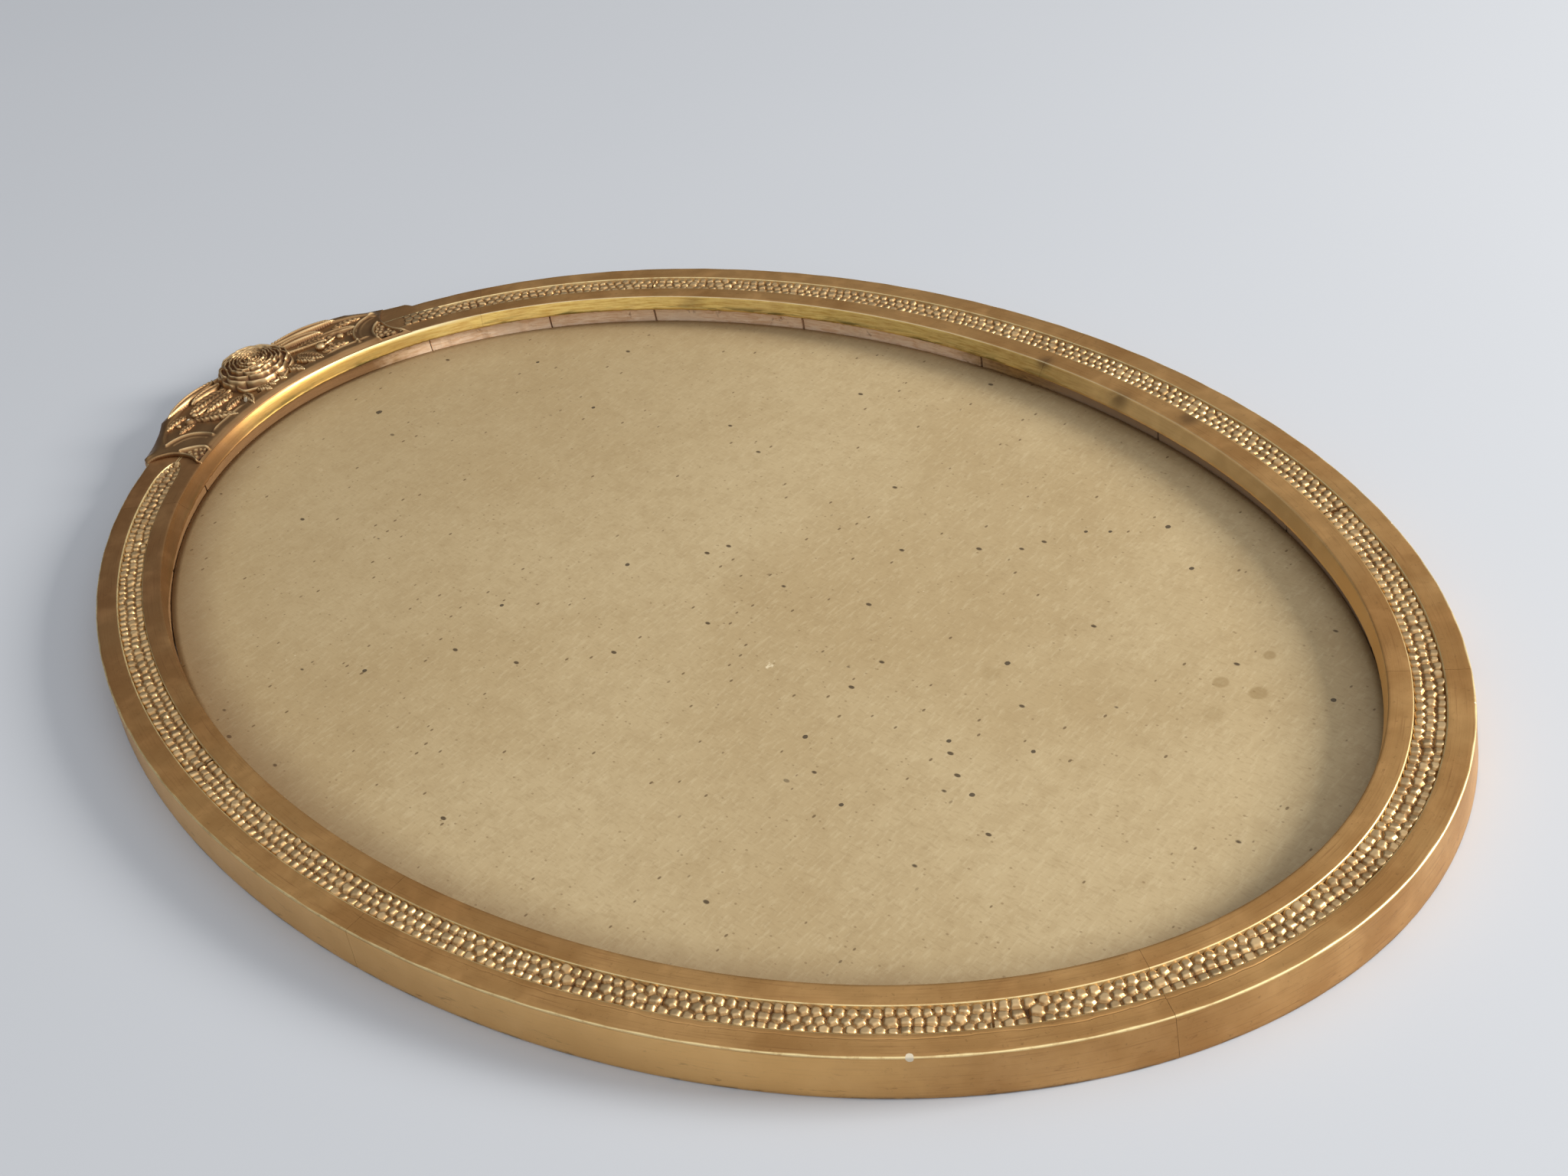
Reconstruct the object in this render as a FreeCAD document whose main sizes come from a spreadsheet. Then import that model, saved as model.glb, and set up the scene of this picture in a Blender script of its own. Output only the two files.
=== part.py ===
import FreeCAD, Part
import Sketcher
import os
from math import acos, atan2, cos, degrees, hypot, radians, sin, sqrt
from types import SimpleNamespace

from FreeCAD import Placement, Rotation, Vector

# Oval giltwood photo frame, lying face up: +Z out of the face, +Y towards the rose crest
# (the top when hung), +X to the right seen from the front. The origin is the centre of the
# oval on the back plane. Clock angles start at the crest and grow towards +X.

# Driving dimensions in millimetres (counts and angles in degrees where the note says so).
SIZES = [
    ("face_half_length", 246, "centre to the outer arris along the long axis"),
    ("face_half_width", 170, "centre to the outer arris along the short axis"),
    ("face_height", 14, "back plane to the flats of the face"),
    ("side_flare", 1, "how much further out the foot of the side stands than the arris"),
    ("arris_radius", 0.8, "rounding of the outer arris"),
    ("outer_flat_width", 7.5, "outer arris to the groove"),
    ("groove_width", 8.3, "width of the groove for the pebble band"),
    ("groove_depth", 1.6, "depth of the groove"),
    ("inner_flat_width", 6.7, "groove to the sight arris"),
    ("bevel_run", 5.2, "sight bevel, measured inwards"),
    ("bevel_drop", 2, "sight bevel, measured down"),
    ("lip_nose", 0.7, "upright edge of the lip under the bevel"),
    ("rebate_width", 5.8, "how far the lip stands in front of the rebate wall"),
    ("front_layer", 4.7, "thickness of the face's wood layer"),
    ("crest_half_width", 64.5, "half axis of the crest's oval outline, across"),
    ("crest_half_height", 30.5, "half axis of the crest's oval outline, up"),
    ("crest_projection", 10.5, "how far the crest's outline stands out past the arris"),
    ("cove_radius", 79, "shallow cove along the crest's outline on each side"),
    ("cove_from_end", 41.5, "end of the crest's oval to the centre of the cove, outwards"),
    ("cove_rise", 52, "centre of the cove, up from the arris at the crest"),
    ("plaque_rise", 1.5, "thickness of the composition plaque on the face"),
    ("plaque_edge_run", 0.8, "slope of the plaque's inner edge, measured outwards"),
    ("field_depth", 0.7, "how deep the leaf field lies in the plaque"),
    ("field_side_border", 9.5, "half axis of the crest less that of the leaf field, across"),
    ("field_top_border", 1.5, "half axis of the crest less that of the leaf field, up"),
    ("field_inset", 5.5, "plain band between the sight arris and the leaf field"),
    ("scallop_radius", 13.5, "scallop that ends the plaque on each side"),
    ("scallop_from_end", 0.7, "end of the crest's oval to the centre of the scallop, across"),
    ("scallop_drop", 10.6, "centre of the scallop, down from the arris straight above it"),
    ("scroll_radius", 12.8, "outer C scroll beside the leaf field"),
    ("scroll_from_end", 15.3, "end of the crest's oval to the centre of the outer C scroll"),
    ("scroll_drop", 15.7, "centre of the outer C scroll, down from the arris above it"),
    ("panel_radius", 11.5, "inner C scroll that bounds the corner panel"),
    ("panel_from_end", 10.8, "end of the crest's oval to the centre of the inner C scroll"),
    ("panel_drop", 19.9, "centre of the inner C scroll, down from the arris above it"),
    ("panel_border", 1.2, "ridge left around the corner panel"),
    ("panel_depth", 0.9, "depth of the recess for the corner panel"),
    ("bead_radius", 0.7, "half round bead along the scrolls and the leaf field"),
    ("band_gap", 0.1, "side clearance of the pebble band in its groove"),
    ("band_below_face", 0.3, "how far the pebbles stay below the flats"),
    ("band_end_angle", 21.5, "clock angle where the groove starts and ends, degrees"),
    ("board_thickness", 1.4, "strawboard backing"),
    ("board_level", 1.6, "back plane to the board's back"),
    ("board_gap", 0.5, "edge clearance of the board in the rebate"),
    ("pin_radius", 0.5, "backing pin"),
    ("pin_length", 12, "backing pin, whole length"),
    ("pin_in_wood", 6, "length of the backing pin driven into the block"),
    ("pin_gap", 0.05, "clearance of a pin in its hole and under the board"),
    ("pocket_half_width", 8, "hanger pocket in the top block, half its width"),
    ("pocket_length", 19.5, "hanger pocket, measured up"),
    ("pocket_depth", 3.9, "hanger pocket, depth from the back plane"),
    ("pocket_from_rebate", 5, "rebate wall to the pocket"),
    ("plate_gap", 0.8, "clearance between the hanger plate and the pocket's end and sides"),
    ("plate_length", 8.5, "hanger plate up to the knuckle's axis"),
    ("plate_thickness", 0.8, "hanger plate and the wall of its knuckle"),
    ("ring_wire_radius", 0.8, "wire of the hanging ring"),
    ("ring_half_width", 4.6, "centre line of the ring, half its width"),
    ("ring_corner", 1.6, "bend where the ring leaves its straight bar"),
    ("ring_leg", 1.5, "straight leg of the ring"),
    ("knuckle_gap", 0.06, "radial clearance of the ring's bar in the knuckle"),
    ("knuckle_end_gap", 0.3, "clearance between the knuckle's end and the ring's bend"),
    ("screw_spread", 4.4, "hanger screws, half the distance between them"),
    ("screw_from_axis", 4.9, "knuckle's axis to the hanger screws"),
    ("screw_radius", 1, "shank of a hanger screw"),
    ("screw_length", 6, "shank of a hanger screw under its head"),
    ("screw_gap", 0.1, "clearance of a hanger screw in the plate"),
    ("screw_head_radius", 1.9, "head of a hanger screw"),
    ("screw_head_height", 1.1, "head of a hanger screw"),
    ("screw_slot", 0.5, "slot in the screw's head, wide and deep"),
    ("rose_radius", 15, "rose, over its outer petals"),
    ("rose_height", 7, "rose, above the leaf field"),
    ("rose_from_arris", 2.5, "rose's centre, down from the arris at the crest"),
    ("leaf_height", 3, "ridge of a leaf above the leaf field"),
    ("spray_ground", 0.5, "thin ground that joins the leaves of a spray"),
    ("berry_radius", 2, "berry at the end of a spray"),
    ("stem_radius", 0.9, "stem of a spray"),
    ("spill", 1, "how far a cutting shape runs past what it cuts"),
]

# Clock angles of the glued joints on the right-hand side, in degrees; the left mirrors them.
BACK_JOINTS = [23, 39.6, 52.5, 69.5, 89.4, 110, 128, 145, 162]
FRONT_JOINTS = [31, 97, 155]
BAND_JOINTS = [52, 131.2, 217.5, 285.3]
PIN_ANGLES = [15, 45, 75, 105, 135, 165]

doc = FreeCAD.newDocument("oval_photo_frame")
sheet = doc.addObject("Spreadsheet::Sheet", "sizes")
for row, (alias, value, note) in enumerate(SIZES, start=1):
    sheet.set(f"A{row}", note)
    sheet.set(f"B{row}", str(value))
    sheet.setAlias(f"B{row}", alias)
doc.recompute()
size = SimpleNamespace(**{alias: float(sheet.get(alias)) for alias, _, _ in SIZES})

# Places that several pieces share, each as an expression in the sheet's names.
SIGHT_INSET = "sizes.outer_flat_width + sizes.groove_width + sizes.inner_flat_width"
LIP_INSET = SIGHT_INSET + " + sizes.bevel_run"
REBATE_INSET = LIP_INSET + " - sizes.rebate_width"
BEVEL_LEVEL = "sizes.face_height - sizes.bevel_drop"
LIP_LEVEL = BEVEL_LEVEL + " - sizes.lip_nose"
LAYER_LEVEL = "sizes.face_height - sizes.front_layer"
PLAQUE_LEVEL = "sizes.face_height + sizes.plaque_rise"
FIELD_LEVEL = PLAQUE_LEVEL + " - sizes.field_depth"
CREST_CENTRE = "sizes.face_half_length + sizes.crest_projection - sizes.crest_half_height"
FIELD_HALF_WIDTH = "sizes.crest_half_width - sizes.field_side_border"
FIELD_HALF_HEIGHT = "sizes.crest_half_height - sizes.field_top_border"
SCALLOP_ACROSS = "sizes.crest_half_width - sizes.scallop_from_end"
SCROLL_ACROSS = "sizes.crest_half_width - sizes.scroll_from_end"
PANEL_ACROSS = "sizes.crest_half_width - sizes.panel_from_end"
POCKET_START = f"sizes.face_half_length - ({REBATE_INSET}) + sizes.pocket_from_rebate"
KNUCKLE_RADIUS = "sizes.ring_wire_radius + sizes.knuckle_gap + sizes.plate_thickness"
HINGE_PLACE = f"{POCKET_START} + sizes.plate_gap + sizes.plate_length"
HINGE_LEVEL = f"sizes.pocket_depth - ({KNUCKLE_RADIUS})"
nodes = []


def below_arris(across, drop):
    """How far up a point lies that is this far across and this far below the arris."""
    share = f"(({across}) / sizes.face_half_width) ^ 2"
    return f"sizes.face_half_length * sqrt(1 - {share}) - {drop}"


def measure(expression):
    """The value of an expression in the sheet's names."""
    value = sheet.evalExpression(expression)
    return float(getattr(value, "Value", value))


def bind(item, **expressions):
    """Ties properties of an object to the sheet; a double underscore stands for a dot."""
    for name, expression in expressions.items():
        item.setExpression(name.replace("__", "."), expression)
    return item


def node(item, label):
    """Marks an object as a finished sub-part."""
    item.Label = label
    nodes.append(item)
    return item


def oval(name, inset, level):
    """An oval of the frame's family: both half axes shorter by the same inset."""
    curve = doc.addObject("Part::Ellipse", name)
    curve.Placement = Placement(Vector(), Rotation(Vector(0, 0, 1), 90))
    return bind(
        curve,
        MajorRadius=f"sizes.face_half_length - ({inset})",
        MinorRadius=f"sizes.face_half_width - ({inset})",
        Placement__Base__z=level,
    )


def extrude(name, outline, height):
    solid = doc.addObject("Part::Extrusion", name)
    solid.Base = outline
    solid.DirMode = "Custom"
    solid.Dir = Vector(0, 0, 1)
    solid.Solid = True
    return bind(solid, LengthFwd=height)


def oval_block(name, inset, low, high):
    """An upright oval block between two levels."""
    return extrude(name, oval(f"{name}_outline", inset, low), f"({high}) - ({low})")


def oval_taper(name, low_inset, low, high_inset, high):
    """A tapering oval block between two levels."""
    loft = doc.addObject("Part::Loft", name)
    loft.Sections = [
        oval(f"{name}_foot", low_inset, low),
        oval(f"{name}_top", high_inset, high),
    ]
    loft.Solid = True
    loft.Ruled = True
    return loft


def cut(name, base, tool):
    item = doc.addObject("Part::Cut", name)
    item.Base = base
    item.Tool = tool
    return item


def fuse(name, shapes):
    item = doc.addObject("Part::MultiFuse", name)
    item.Shapes = shapes
    return item


def common(name, base, tool):
    item = doc.addObject("Part::Common", name)
    item.Base = base
    item.Tool = tool
    return item


def cylinder(name, radius, height, x="0", y="0", z="0"):
    return bind(
        doc.addObject("Part::Cylinder", name),
        Radius=radius,
        Height=height,
        Placement__Base__x=x,
        Placement__Base__y=y,
        Placement__Base__z=z,
    )


def box(name, length, width, height, x, y, z):
    return bind(
        doc.addObject("Part::Box", name),
        Length=length,
        Width=width,
        Height=height,
        Placement__Base__x=x,
        Placement__Base__y=y,
        Placement__Base__z=z,
    )


def rim_point(clock, inset=0.0):
    """Point and outward normal of the oval with this inset at a clock angle."""
    turn = radians(clock)
    across = size.face_half_width - inset
    along = size.face_half_length - inset
    point = Vector(across * sin(turn), along * cos(turn), 0)
    normal = Vector(sin(turn) / across, cos(turn) / along, 0)
    return point, normal.normalize()


def sector(name, start, end):
    """A pie slice whose two faces stand square to the rim at both clock angles."""
    first, first_normal = rim_point(start)
    last, last_normal = rim_point(end)
    turn = first_normal.x * last_normal.y - first_normal.y * last_normal.x
    chord = last - first
    reach = (chord.x * last_normal.y - chord.y * last_normal.x) / turn
    hub = first + first_normal * reach
    rods = []
    for part, radius, low in (
        ("slice", 2 * size.face_half_length, "sizes.spill"),
        ("eye", min(hub.distanceToPoint(first), hub.distanceToPoint(last)) / 2, "2 * sizes.spill"),
    ):
        rod = doc.addObject("Part::Cylinder", f"{name}_{part}")
        rod.Placement.Base = hub
        rod.Radius = radius
        rods.append(bind(rod, Height=f"{PLAQUE_LEVEL} + 2 * {low}", Placement__Base__z=f"-({low})"))
    rods[0].Angle = degrees(acos(first_normal.dot(last_normal)))
    heading = degrees(atan2(last_normal.y, last_normal.x))
    rods[0].Placement.Rotation = Rotation(Vector(0, 0, 1), heading)
    return cut(name, *rods)


def rim_names(prefix, joints):
    """Spans between joints all round: a top piece, pieces down each side, a bottom piece."""
    spans = [(f"{prefix}_top", -joints[0], joints[0])]
    for number, (start, end) in enumerate(zip(joints, joints[1:]), start=1):
        spans.append((f"{prefix}_right_{number}", start, end))
        spans.append((f"{prefix}_left_{number}", -end, -start))
    spans.append((f"{prefix}_bottom", joints[-1], 360 - joints[-1]))
    return spans


# Outer body of the moulding with its rounded arris, and the crest's bulge at the top.
outer = oval_taper("rim_outer", "-sizes.side_flare", "0", "0", "sizes.face_height")
doc.recompute()
arris = doc.addObject("Part::Fillet", "rim_arris")
arris.Base = outer
top_edge = max(
    range(len(outer.Shape.Edges)),
    key=lambda k: outer.Shape.Edges[k].BoundBox.ZMin,
)
arris.Edges = [(top_edge + 1, size.arris_radius, size.arris_radius)]


def crest_outline(name, low, high):
    """The crest's own oval between two levels, with a shallow cove towards each ear."""
    curve = doc.addObject("Part::Ellipse", f"{name}_outline")
    bind(
        curve,
        MajorRadius="sizes.crest_half_width",
        MinorRadius="sizes.crest_half_height",
        Placement__Base__y=CREST_CENTRE,
        Placement__Base__z=low,
    )
    coves = []
    for side, sign in (("right", ""), ("left", "-")):
        coves.append(
            cylinder(
                f"{name}_cove_{side}",
                "sizes.cove_radius",
                f"({high}) - ({low}) + 2 * sizes.spill",
                x=f"{sign}(sizes.crest_half_width + sizes.cove_from_end)",
                y="sizes.face_half_length + sizes.cove_rise",
                z=f"{low} - sizes.spill",
            )
        )
    solid = extrude(f"{name}_oval", curve, f"({high}) - ({low})")
    return cut(name, solid, fuse(f"{name}_coves", coves))


bulge = crest_outline("crest_bulge", "0", "sizes.face_height")
rough = fuse("rim_rough", [arris, bulge])

# The opening, the bevel down to the lip, and the groove for the pebble band.
opening = oval_block(
    "lip_opening", LIP_INSET, f"{LAYER_LEVEL} - sizes.spill", "sizes.face_height + sizes.spill"
)
rebate = oval_block("rebate_opening", REBATE_INSET, "-sizes.spill", LIP_LEVEL)
bevel = oval_taper(
    "sight_bevel",
    LIP_INSET,
    BEVEL_LEVEL,
    f"{SIGHT_INSET} - sizes.bevel_run * sizes.spill / sizes.bevel_drop",
    "sizes.face_height + sizes.spill",
)
groove_level = "sizes.face_height - sizes.groove_depth"
groove_in = "sizes.outer_flat_width + sizes.groove_width"
groove = cut(
    "groove_ring",
    oval_block(
        "groove_outer", "sizes.outer_flat_width", groove_level, "sizes.face_height + sizes.spill"
    ),
    oval_block(
        "groove_core",
        groove_in,
        f"{groove_level} - sizes.spill",
        "sizes.face_height + 2 * sizes.spill",
    ),
)
groove_run = cut(
    "groove_run", groove, sector("groove_stop", -size.band_end_angle, size.band_end_angle)
)
below_layer = box(
    "below_layer",
    "4 * sizes.face_half_width",
    "4 * sizes.face_half_length",
    f"{LAYER_LEVEL} + sizes.spill",
    "-2 * sizes.face_half_width",
    "-2 * sizes.face_half_length",
    "-sizes.spill",
)
front_ring = cut(
    "front_ring", rough, fuse("front_cuts", [opening, rebate, bevel, groove_run, below_layer])
)
above_layer = box(
    "above_layer",
    "4 * sizes.face_half_width",
    "4 * sizes.face_half_length",
    "2 * sizes.face_height",
    "-2 * sizes.face_half_width",
    "-2 * sizes.face_half_length",
    LAYER_LEVEL,
)
back_ring = cut("back_ring", rough, fuse("back_cuts", [rebate, above_layer]))

# Front layer: six sawn segments that carry the face.
for label, start, end in rim_names("face_segment", FRONT_JOINTS):
    node(common(f"{label}_solid", front_ring, sector(f"{label}_sector", start, end)), label)

# Backing pins, driven level into the blocks behind the board.
pin_level = "sizes.board_level - sizes.pin_radius - sizes.pin_gap"


def pin(name, clock, radius, start, length):
    """A rod along the rim's normal; start is measured outwards from the rebate wall."""
    point, normal = rim_point(clock, measure(REBATE_INSET))
    rod = doc.addObject("Part::Cylinder", name)
    rod.Placement = Placement(point + normal * start, Rotation(Vector(0, 0, 1), -normal))
    return bind(rod, Radius=radius, Height=length, Placement__Base__z=pin_level)


pin_clocks = PIN_ANGLES + [-clock for clock in PIN_ANGLES]
pins = [
    pin(f"pin_{k}", clock, "sizes.pin_radius", size.pin_in_wood, "sizes.pin_length")
    for k, clock in enumerate(pin_clocks, start=1)
]
pin_holes = [
    pin(
        f"pin_hole_{k}",
        clock,
        "sizes.pin_radius + sizes.pin_gap",
        size.pin_in_wood + size.pin_gap,
        "sizes.pin_length",
    )
    for k, clock in enumerate(pin_clocks, start=1)
]
pin_group = doc.addObject("Part::Compound", "backing_pins_group")
pin_group.Links = pins
node(pin_group, "backing_pins")

# The hanger's pocket and pilot holes in the top block.
pocket = box(
    "hanger_pocket",
    "2 * sizes.pocket_half_width",
    "sizes.pocket_length",
    "sizes.pocket_depth + sizes.spill",
    "-sizes.pocket_half_width",
    POCKET_START,
    "-sizes.spill",
)


def screw_rods(name, radius, low, height):
    rods = []
    for side, sign in (("right", ""), ("left", "-")):
        rods.append(
            cylinder(
                f"{name}_{side}",
                radius,
                height,
                x=f"{sign}sizes.screw_spread",
                y=f"{HINGE_PLACE} - sizes.screw_from_axis",
                z=low,
            )
        )
    return rods


plate_level = "sizes.pocket_depth - sizes.plate_thickness"
pilots = screw_rods(
    "pilot",
    "sizes.screw_radius + sizes.pin_gap",
    f"{plate_level} - sizes.spill",
    "sizes.screw_length + sizes.spill + sizes.pin_gap",
)

# Back layer: short blocks laid brick-fashion behind the front joints.
drilled_ring = cut("drilled_ring", back_ring, fuse("ring_cuts", pin_holes + [pocket] + pilots))
for label, start, end in rim_names("back_block", BACK_JOINTS):
    node(common(f"{label}_solid", drilled_ring, sector(f"{label}_sector", start, end)), label)

# Pebble band: five pressed strips laid in the groove.
strip_ring = cut(
    "strip_ring",
    oval_block(
        "strip_outer",
        "sizes.outer_flat_width + sizes.band_gap",
        groove_level,
        "sizes.face_height - sizes.band_below_face",
    ),
    oval_block(
        "strip_core",
        f"{groove_in} - sizes.band_gap",
        f"{groove_level} - sizes.spill",
        "sizes.face_height + sizes.spill",
    ),
)
band_ends = [size.band_end_angle] + BAND_JOINTS + [360 - size.band_end_angle]
for number, (start, end) in enumerate(zip(band_ends, band_ends[1:]), start=1):
    label = f"pebble_strip_{number}"
    node(common(f"{label}_solid", strip_ring, sector(f"{label}_sector", start, end)), label)

# Strawboard backing in the rebate.
node(
    oval_block(
        "backing_board_solid",
        f"{REBATE_INSET} + sizes.board_gap",
        "sizes.board_level",
        "sizes.board_level + sizes.board_thickness",
    ),
    "backing_board",
)

# Crest plaque: the crest's outline on the face, cut at the sight arris, scalloped at both ends.
plaque_blank = crest_outline("plaque_blank", "sizes.face_height", PLAQUE_LEVEL)


def both_sides(name, radius, across, drop, low, high):
    """A cylinder on each side of the crest, measured down from the arris above it."""
    rods = []
    for side, sign in (("right", ""), ("left", "-")):
        rods.append(
            cylinder(
                f"{name}_{side}",
                radius,
                f"({high}) - ({low})",
                x=f"{sign}({across})",
                y=below_arris(across, drop),
                z=low,
            )
        )
    return rods


below_plaque = "sizes.face_height - sizes.spill"
above_plaque = f"{PLAQUE_LEVEL} + sizes.spill"
scallops = both_sides(
    "scallop",
    "sizes.scallop_radius",
    SCALLOP_ACROSS,
    "sizes.scallop_drop",
    below_plaque,
    above_plaque,
)
# The plaque's inner edge starts at the sight arris and leans outwards.
edge_slope = "sizes.plaque_edge_run / sizes.plaque_rise"
plaque_bevel = oval_taper(
    "plaque_bevel",
    f"{SIGHT_INSET} + {edge_slope} * sizes.spill",
    below_plaque,
    f"{SIGHT_INSET} - {edge_slope} * (sizes.plaque_rise + sizes.spill)",
    above_plaque,
)
field_edge = doc.addObject("Part::Ellipse", "field_edge")
bind(
    field_edge,
    MajorRadius=FIELD_HALF_WIDTH,
    MinorRadius=FIELD_HALF_HEIGHT,
    Placement__Base__y=CREST_CENTRE,
    Placement__Base__z=FIELD_LEVEL,
)
field_blank = extrude("field_blank", field_edge, "2 * sizes.plaque_rise")
field_stops = both_sides(
    "field_stop",
    "sizes.scroll_radius",
    SCROLL_ACROSS,
    "sizes.scroll_drop",
    f"{FIELD_LEVEL} - sizes.spill",
    f"{above_plaque} + sizes.spill",
)
field_floor = oval_block(
    "field_floor",
    f"{SIGHT_INSET} - sizes.field_inset",
    f"{FIELD_LEVEL} - sizes.spill",
    f"{above_plaque} + sizes.spill",
)
field = cut("leaf_field", field_blank, fuse("field_limits", field_stops + [field_floor]))


def panel_solids(name, border, low, high):
    """The two corner panels, each inside its C scroll and clear of the scallop and bevel."""
    keep_out = both_sides(
        f"{name}_scallop",
        f"sizes.scallop_radius + {border}",
        SCALLOP_ACROSS,
        "sizes.scallop_drop",
        f"({low}) - sizes.spill",
        f"({high}) + sizes.spill",
    )
    floor = oval_block(
        f"{name}_floor",
        f"{SIGHT_INSET} - {border}",
        f"({low}) - sizes.spill",
        f"({high}) + sizes.spill",
    )
    rods = both_sides(
        name,
        f"sizes.panel_radius - {border}",
        PANEL_ACROSS,
        "sizes.panel_drop",
        low,
        high,
    )
    panels = []
    for side, rod, scallop in zip(("right", "left"), rods, keep_out):
        limits = fuse(f"{name}_limits_{side}", [scallop, floor])
        panels.append(cut(f"{name}_cut_{side}", rod, limits))
    return panels


panel_level = f"{PLAQUE_LEVEL} - sizes.panel_depth"
recesses = panel_solids("panel_recess", "sizes.panel_border", panel_level, above_plaque)


def scroll_bead(name, across, drop, radius, start, sweep, mirror):
    """A half round bead along part of a scroll's circle, mirrored on the left."""
    ring = doc.addObject("Part::Torus", name)
    ring.Angle3 = sweep
    heading = 180 - start - sweep if mirror else start
    ring.Placement = Placement(Vector(), Rotation(Vector(0, 0, 1), heading))
    sign = "-" if mirror else ""
    return bind(
        ring,
        Radius1=radius,
        Radius2="sizes.bead_radius",
        Placement__Base__x=f"{sign}({across})",
        Placement__Base__y=below_arris(across, drop),
        Placement__Base__z=PLAQUE_LEVEL + " + sizes.bead_radius / 8",
    )


SCROLL_SWEEP = (80, 90)
PANEL_SWEEP = (108, 80)
scroll_beads = []
panel_beads = []
for mirror in (False, True):
    side = "left" if mirror else "right"
    scroll_beads.append(
        scroll_bead(
            f"scroll_bead_{side}",
            SCROLL_ACROSS,
            "sizes.scroll_drop",
            "sizes.scroll_radius",
            *SCROLL_SWEEP,
            mirror,
        )
    )
    panel_beads.append(
        scroll_bead(
            f"panel_bead_{side}",
            PANEL_ACROSS,
            "sizes.panel_drop",
            "sizes.panel_radius",
            *PANEL_SWEEP,
            mirror,
        )
    )
rose_seat = cylinder(
    "rose_seat",
    "sizes.rose_radius + sizes.band_gap",
    "2 * sizes.plaque_rise",
    y="sizes.face_half_length - sizes.rose_from_arris",
    z=FIELD_LEVEL,
)
plaque_cut = cut(
    "plaque_cut",
    fuse("plaque_stock", [plaque_blank] + panel_beads),
    fuse("plaque_cuts", scallops + [plaque_bevel, field, rose_seat] + recesses),
)
plaque = fuse("crest_plaque_solid", [plaque_cut] + scroll_beads)
plaque.Refine = True
node(plaque, "crest_plaque")

# Pebbled fillings of the corner panels.
panels = panel_solids(
    "panel_fill",
    "(sizes.panel_border + sizes.band_gap)",
    panel_level,
    f"{PLAQUE_LEVEL} - sizes.band_below_face",
)
for side, panel in zip(("right", "left"), panels):
    node(panel, f"pebble_panel_{side}")

# Rose: tiers of petals turned as a stepped dome, each tier notched into petals.
PETAL_TIERS = [
    # outer share of the radius, lip and valley heights as shares of the height, petals
    (1.00, 0.56, 0.42, 8),
    (0.76, 0.74, 0.60, 7),
    (0.53, 0.88, 0.76, 6),
    (0.31, 0.97, 0.88, 5),
]
NOTCH_SHARE = 0.11
HEART_SHARE = 0.14


def origin_plane(body, role):
    return next(item for item in body.Origin.OriginFeatures if item.Role == role)


def new_sketch(body, name, role):
    sketch = body.newObject("Sketcher::SketchObject", name)
    sketch.AttachmentSupport = [(origin_plane(body, role), "")]
    sketch.MapMode = "FlatFace"
    return sketch


def closed_outline(sketch, corners):
    """Straight runs through the corners, each pair of expressions held by two constraints."""
    points = [Vector(measure(x), measure(y), 0) for x, y in corners]
    last = len(points)
    for k in range(last):
        sketch.addGeometry(Part.LineSegment(points[k], points[(k + 1) % last]), False)
    for k in range(last):
        sketch.addConstraint(Sketcher.Constraint("Coincident", k, 2, (k + 1) % last, 1))
    for k, (x, y) in enumerate(corners):
        for kind, expression, axis, place in (
            ("DistanceX", x, -2, points[k].x),
            ("DistanceY", y, -1, points[k].y),
        ):
            if place == 0:
                sketch.addConstraint(Sketcher.Constraint("PointOnObject", k, 1, axis))
                continue
            index = sketch.addConstraint(Sketcher.Constraint(kind, -1, 1, k, 1, place))
            sketch.setExpression(f"Constraints[{index}]", expression)


rose = doc.addObject("PartDesign::Body", "rose_body")
profile = new_sketch(rose, "rose_profile", "XZ_Plane")
corners = [("0", "0")]
radius_text = "sizes.rose_radius * {:g}".format
height_text = "sizes.rose_height * {:g}".format
corners.append((radius_text(PETAL_TIERS[0][0]), "0"))
for place, (outer_share, lip_share, valley_share, _) in enumerate(PETAL_TIERS):
    corners.append((radius_text(outer_share), height_text(lip_share * 0.7)))
    corners.append((radius_text(outer_share - 0.05), height_text(lip_share)))
    inner_share = PETAL_TIERS[place + 1][0] if place + 1 < len(PETAL_TIERS) else HEART_SHARE
    corners.append((radius_text(inner_share), height_text(valley_share)))
corners.append((radius_text(HEART_SHARE * 0.7), height_text(1)))
corners.append(("0", height_text(1)))
closed_outline(profile, corners)
doc.recompute()
dome = rose.newObject("PartDesign::Revolution", "rose_dome")
dome.Profile = profile
dome.ReferenceAxis = (profile, ["V_Axis"])
dome.Angle = 360
doc.recompute()
dome_volume = dome.Shape.Volume
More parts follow.
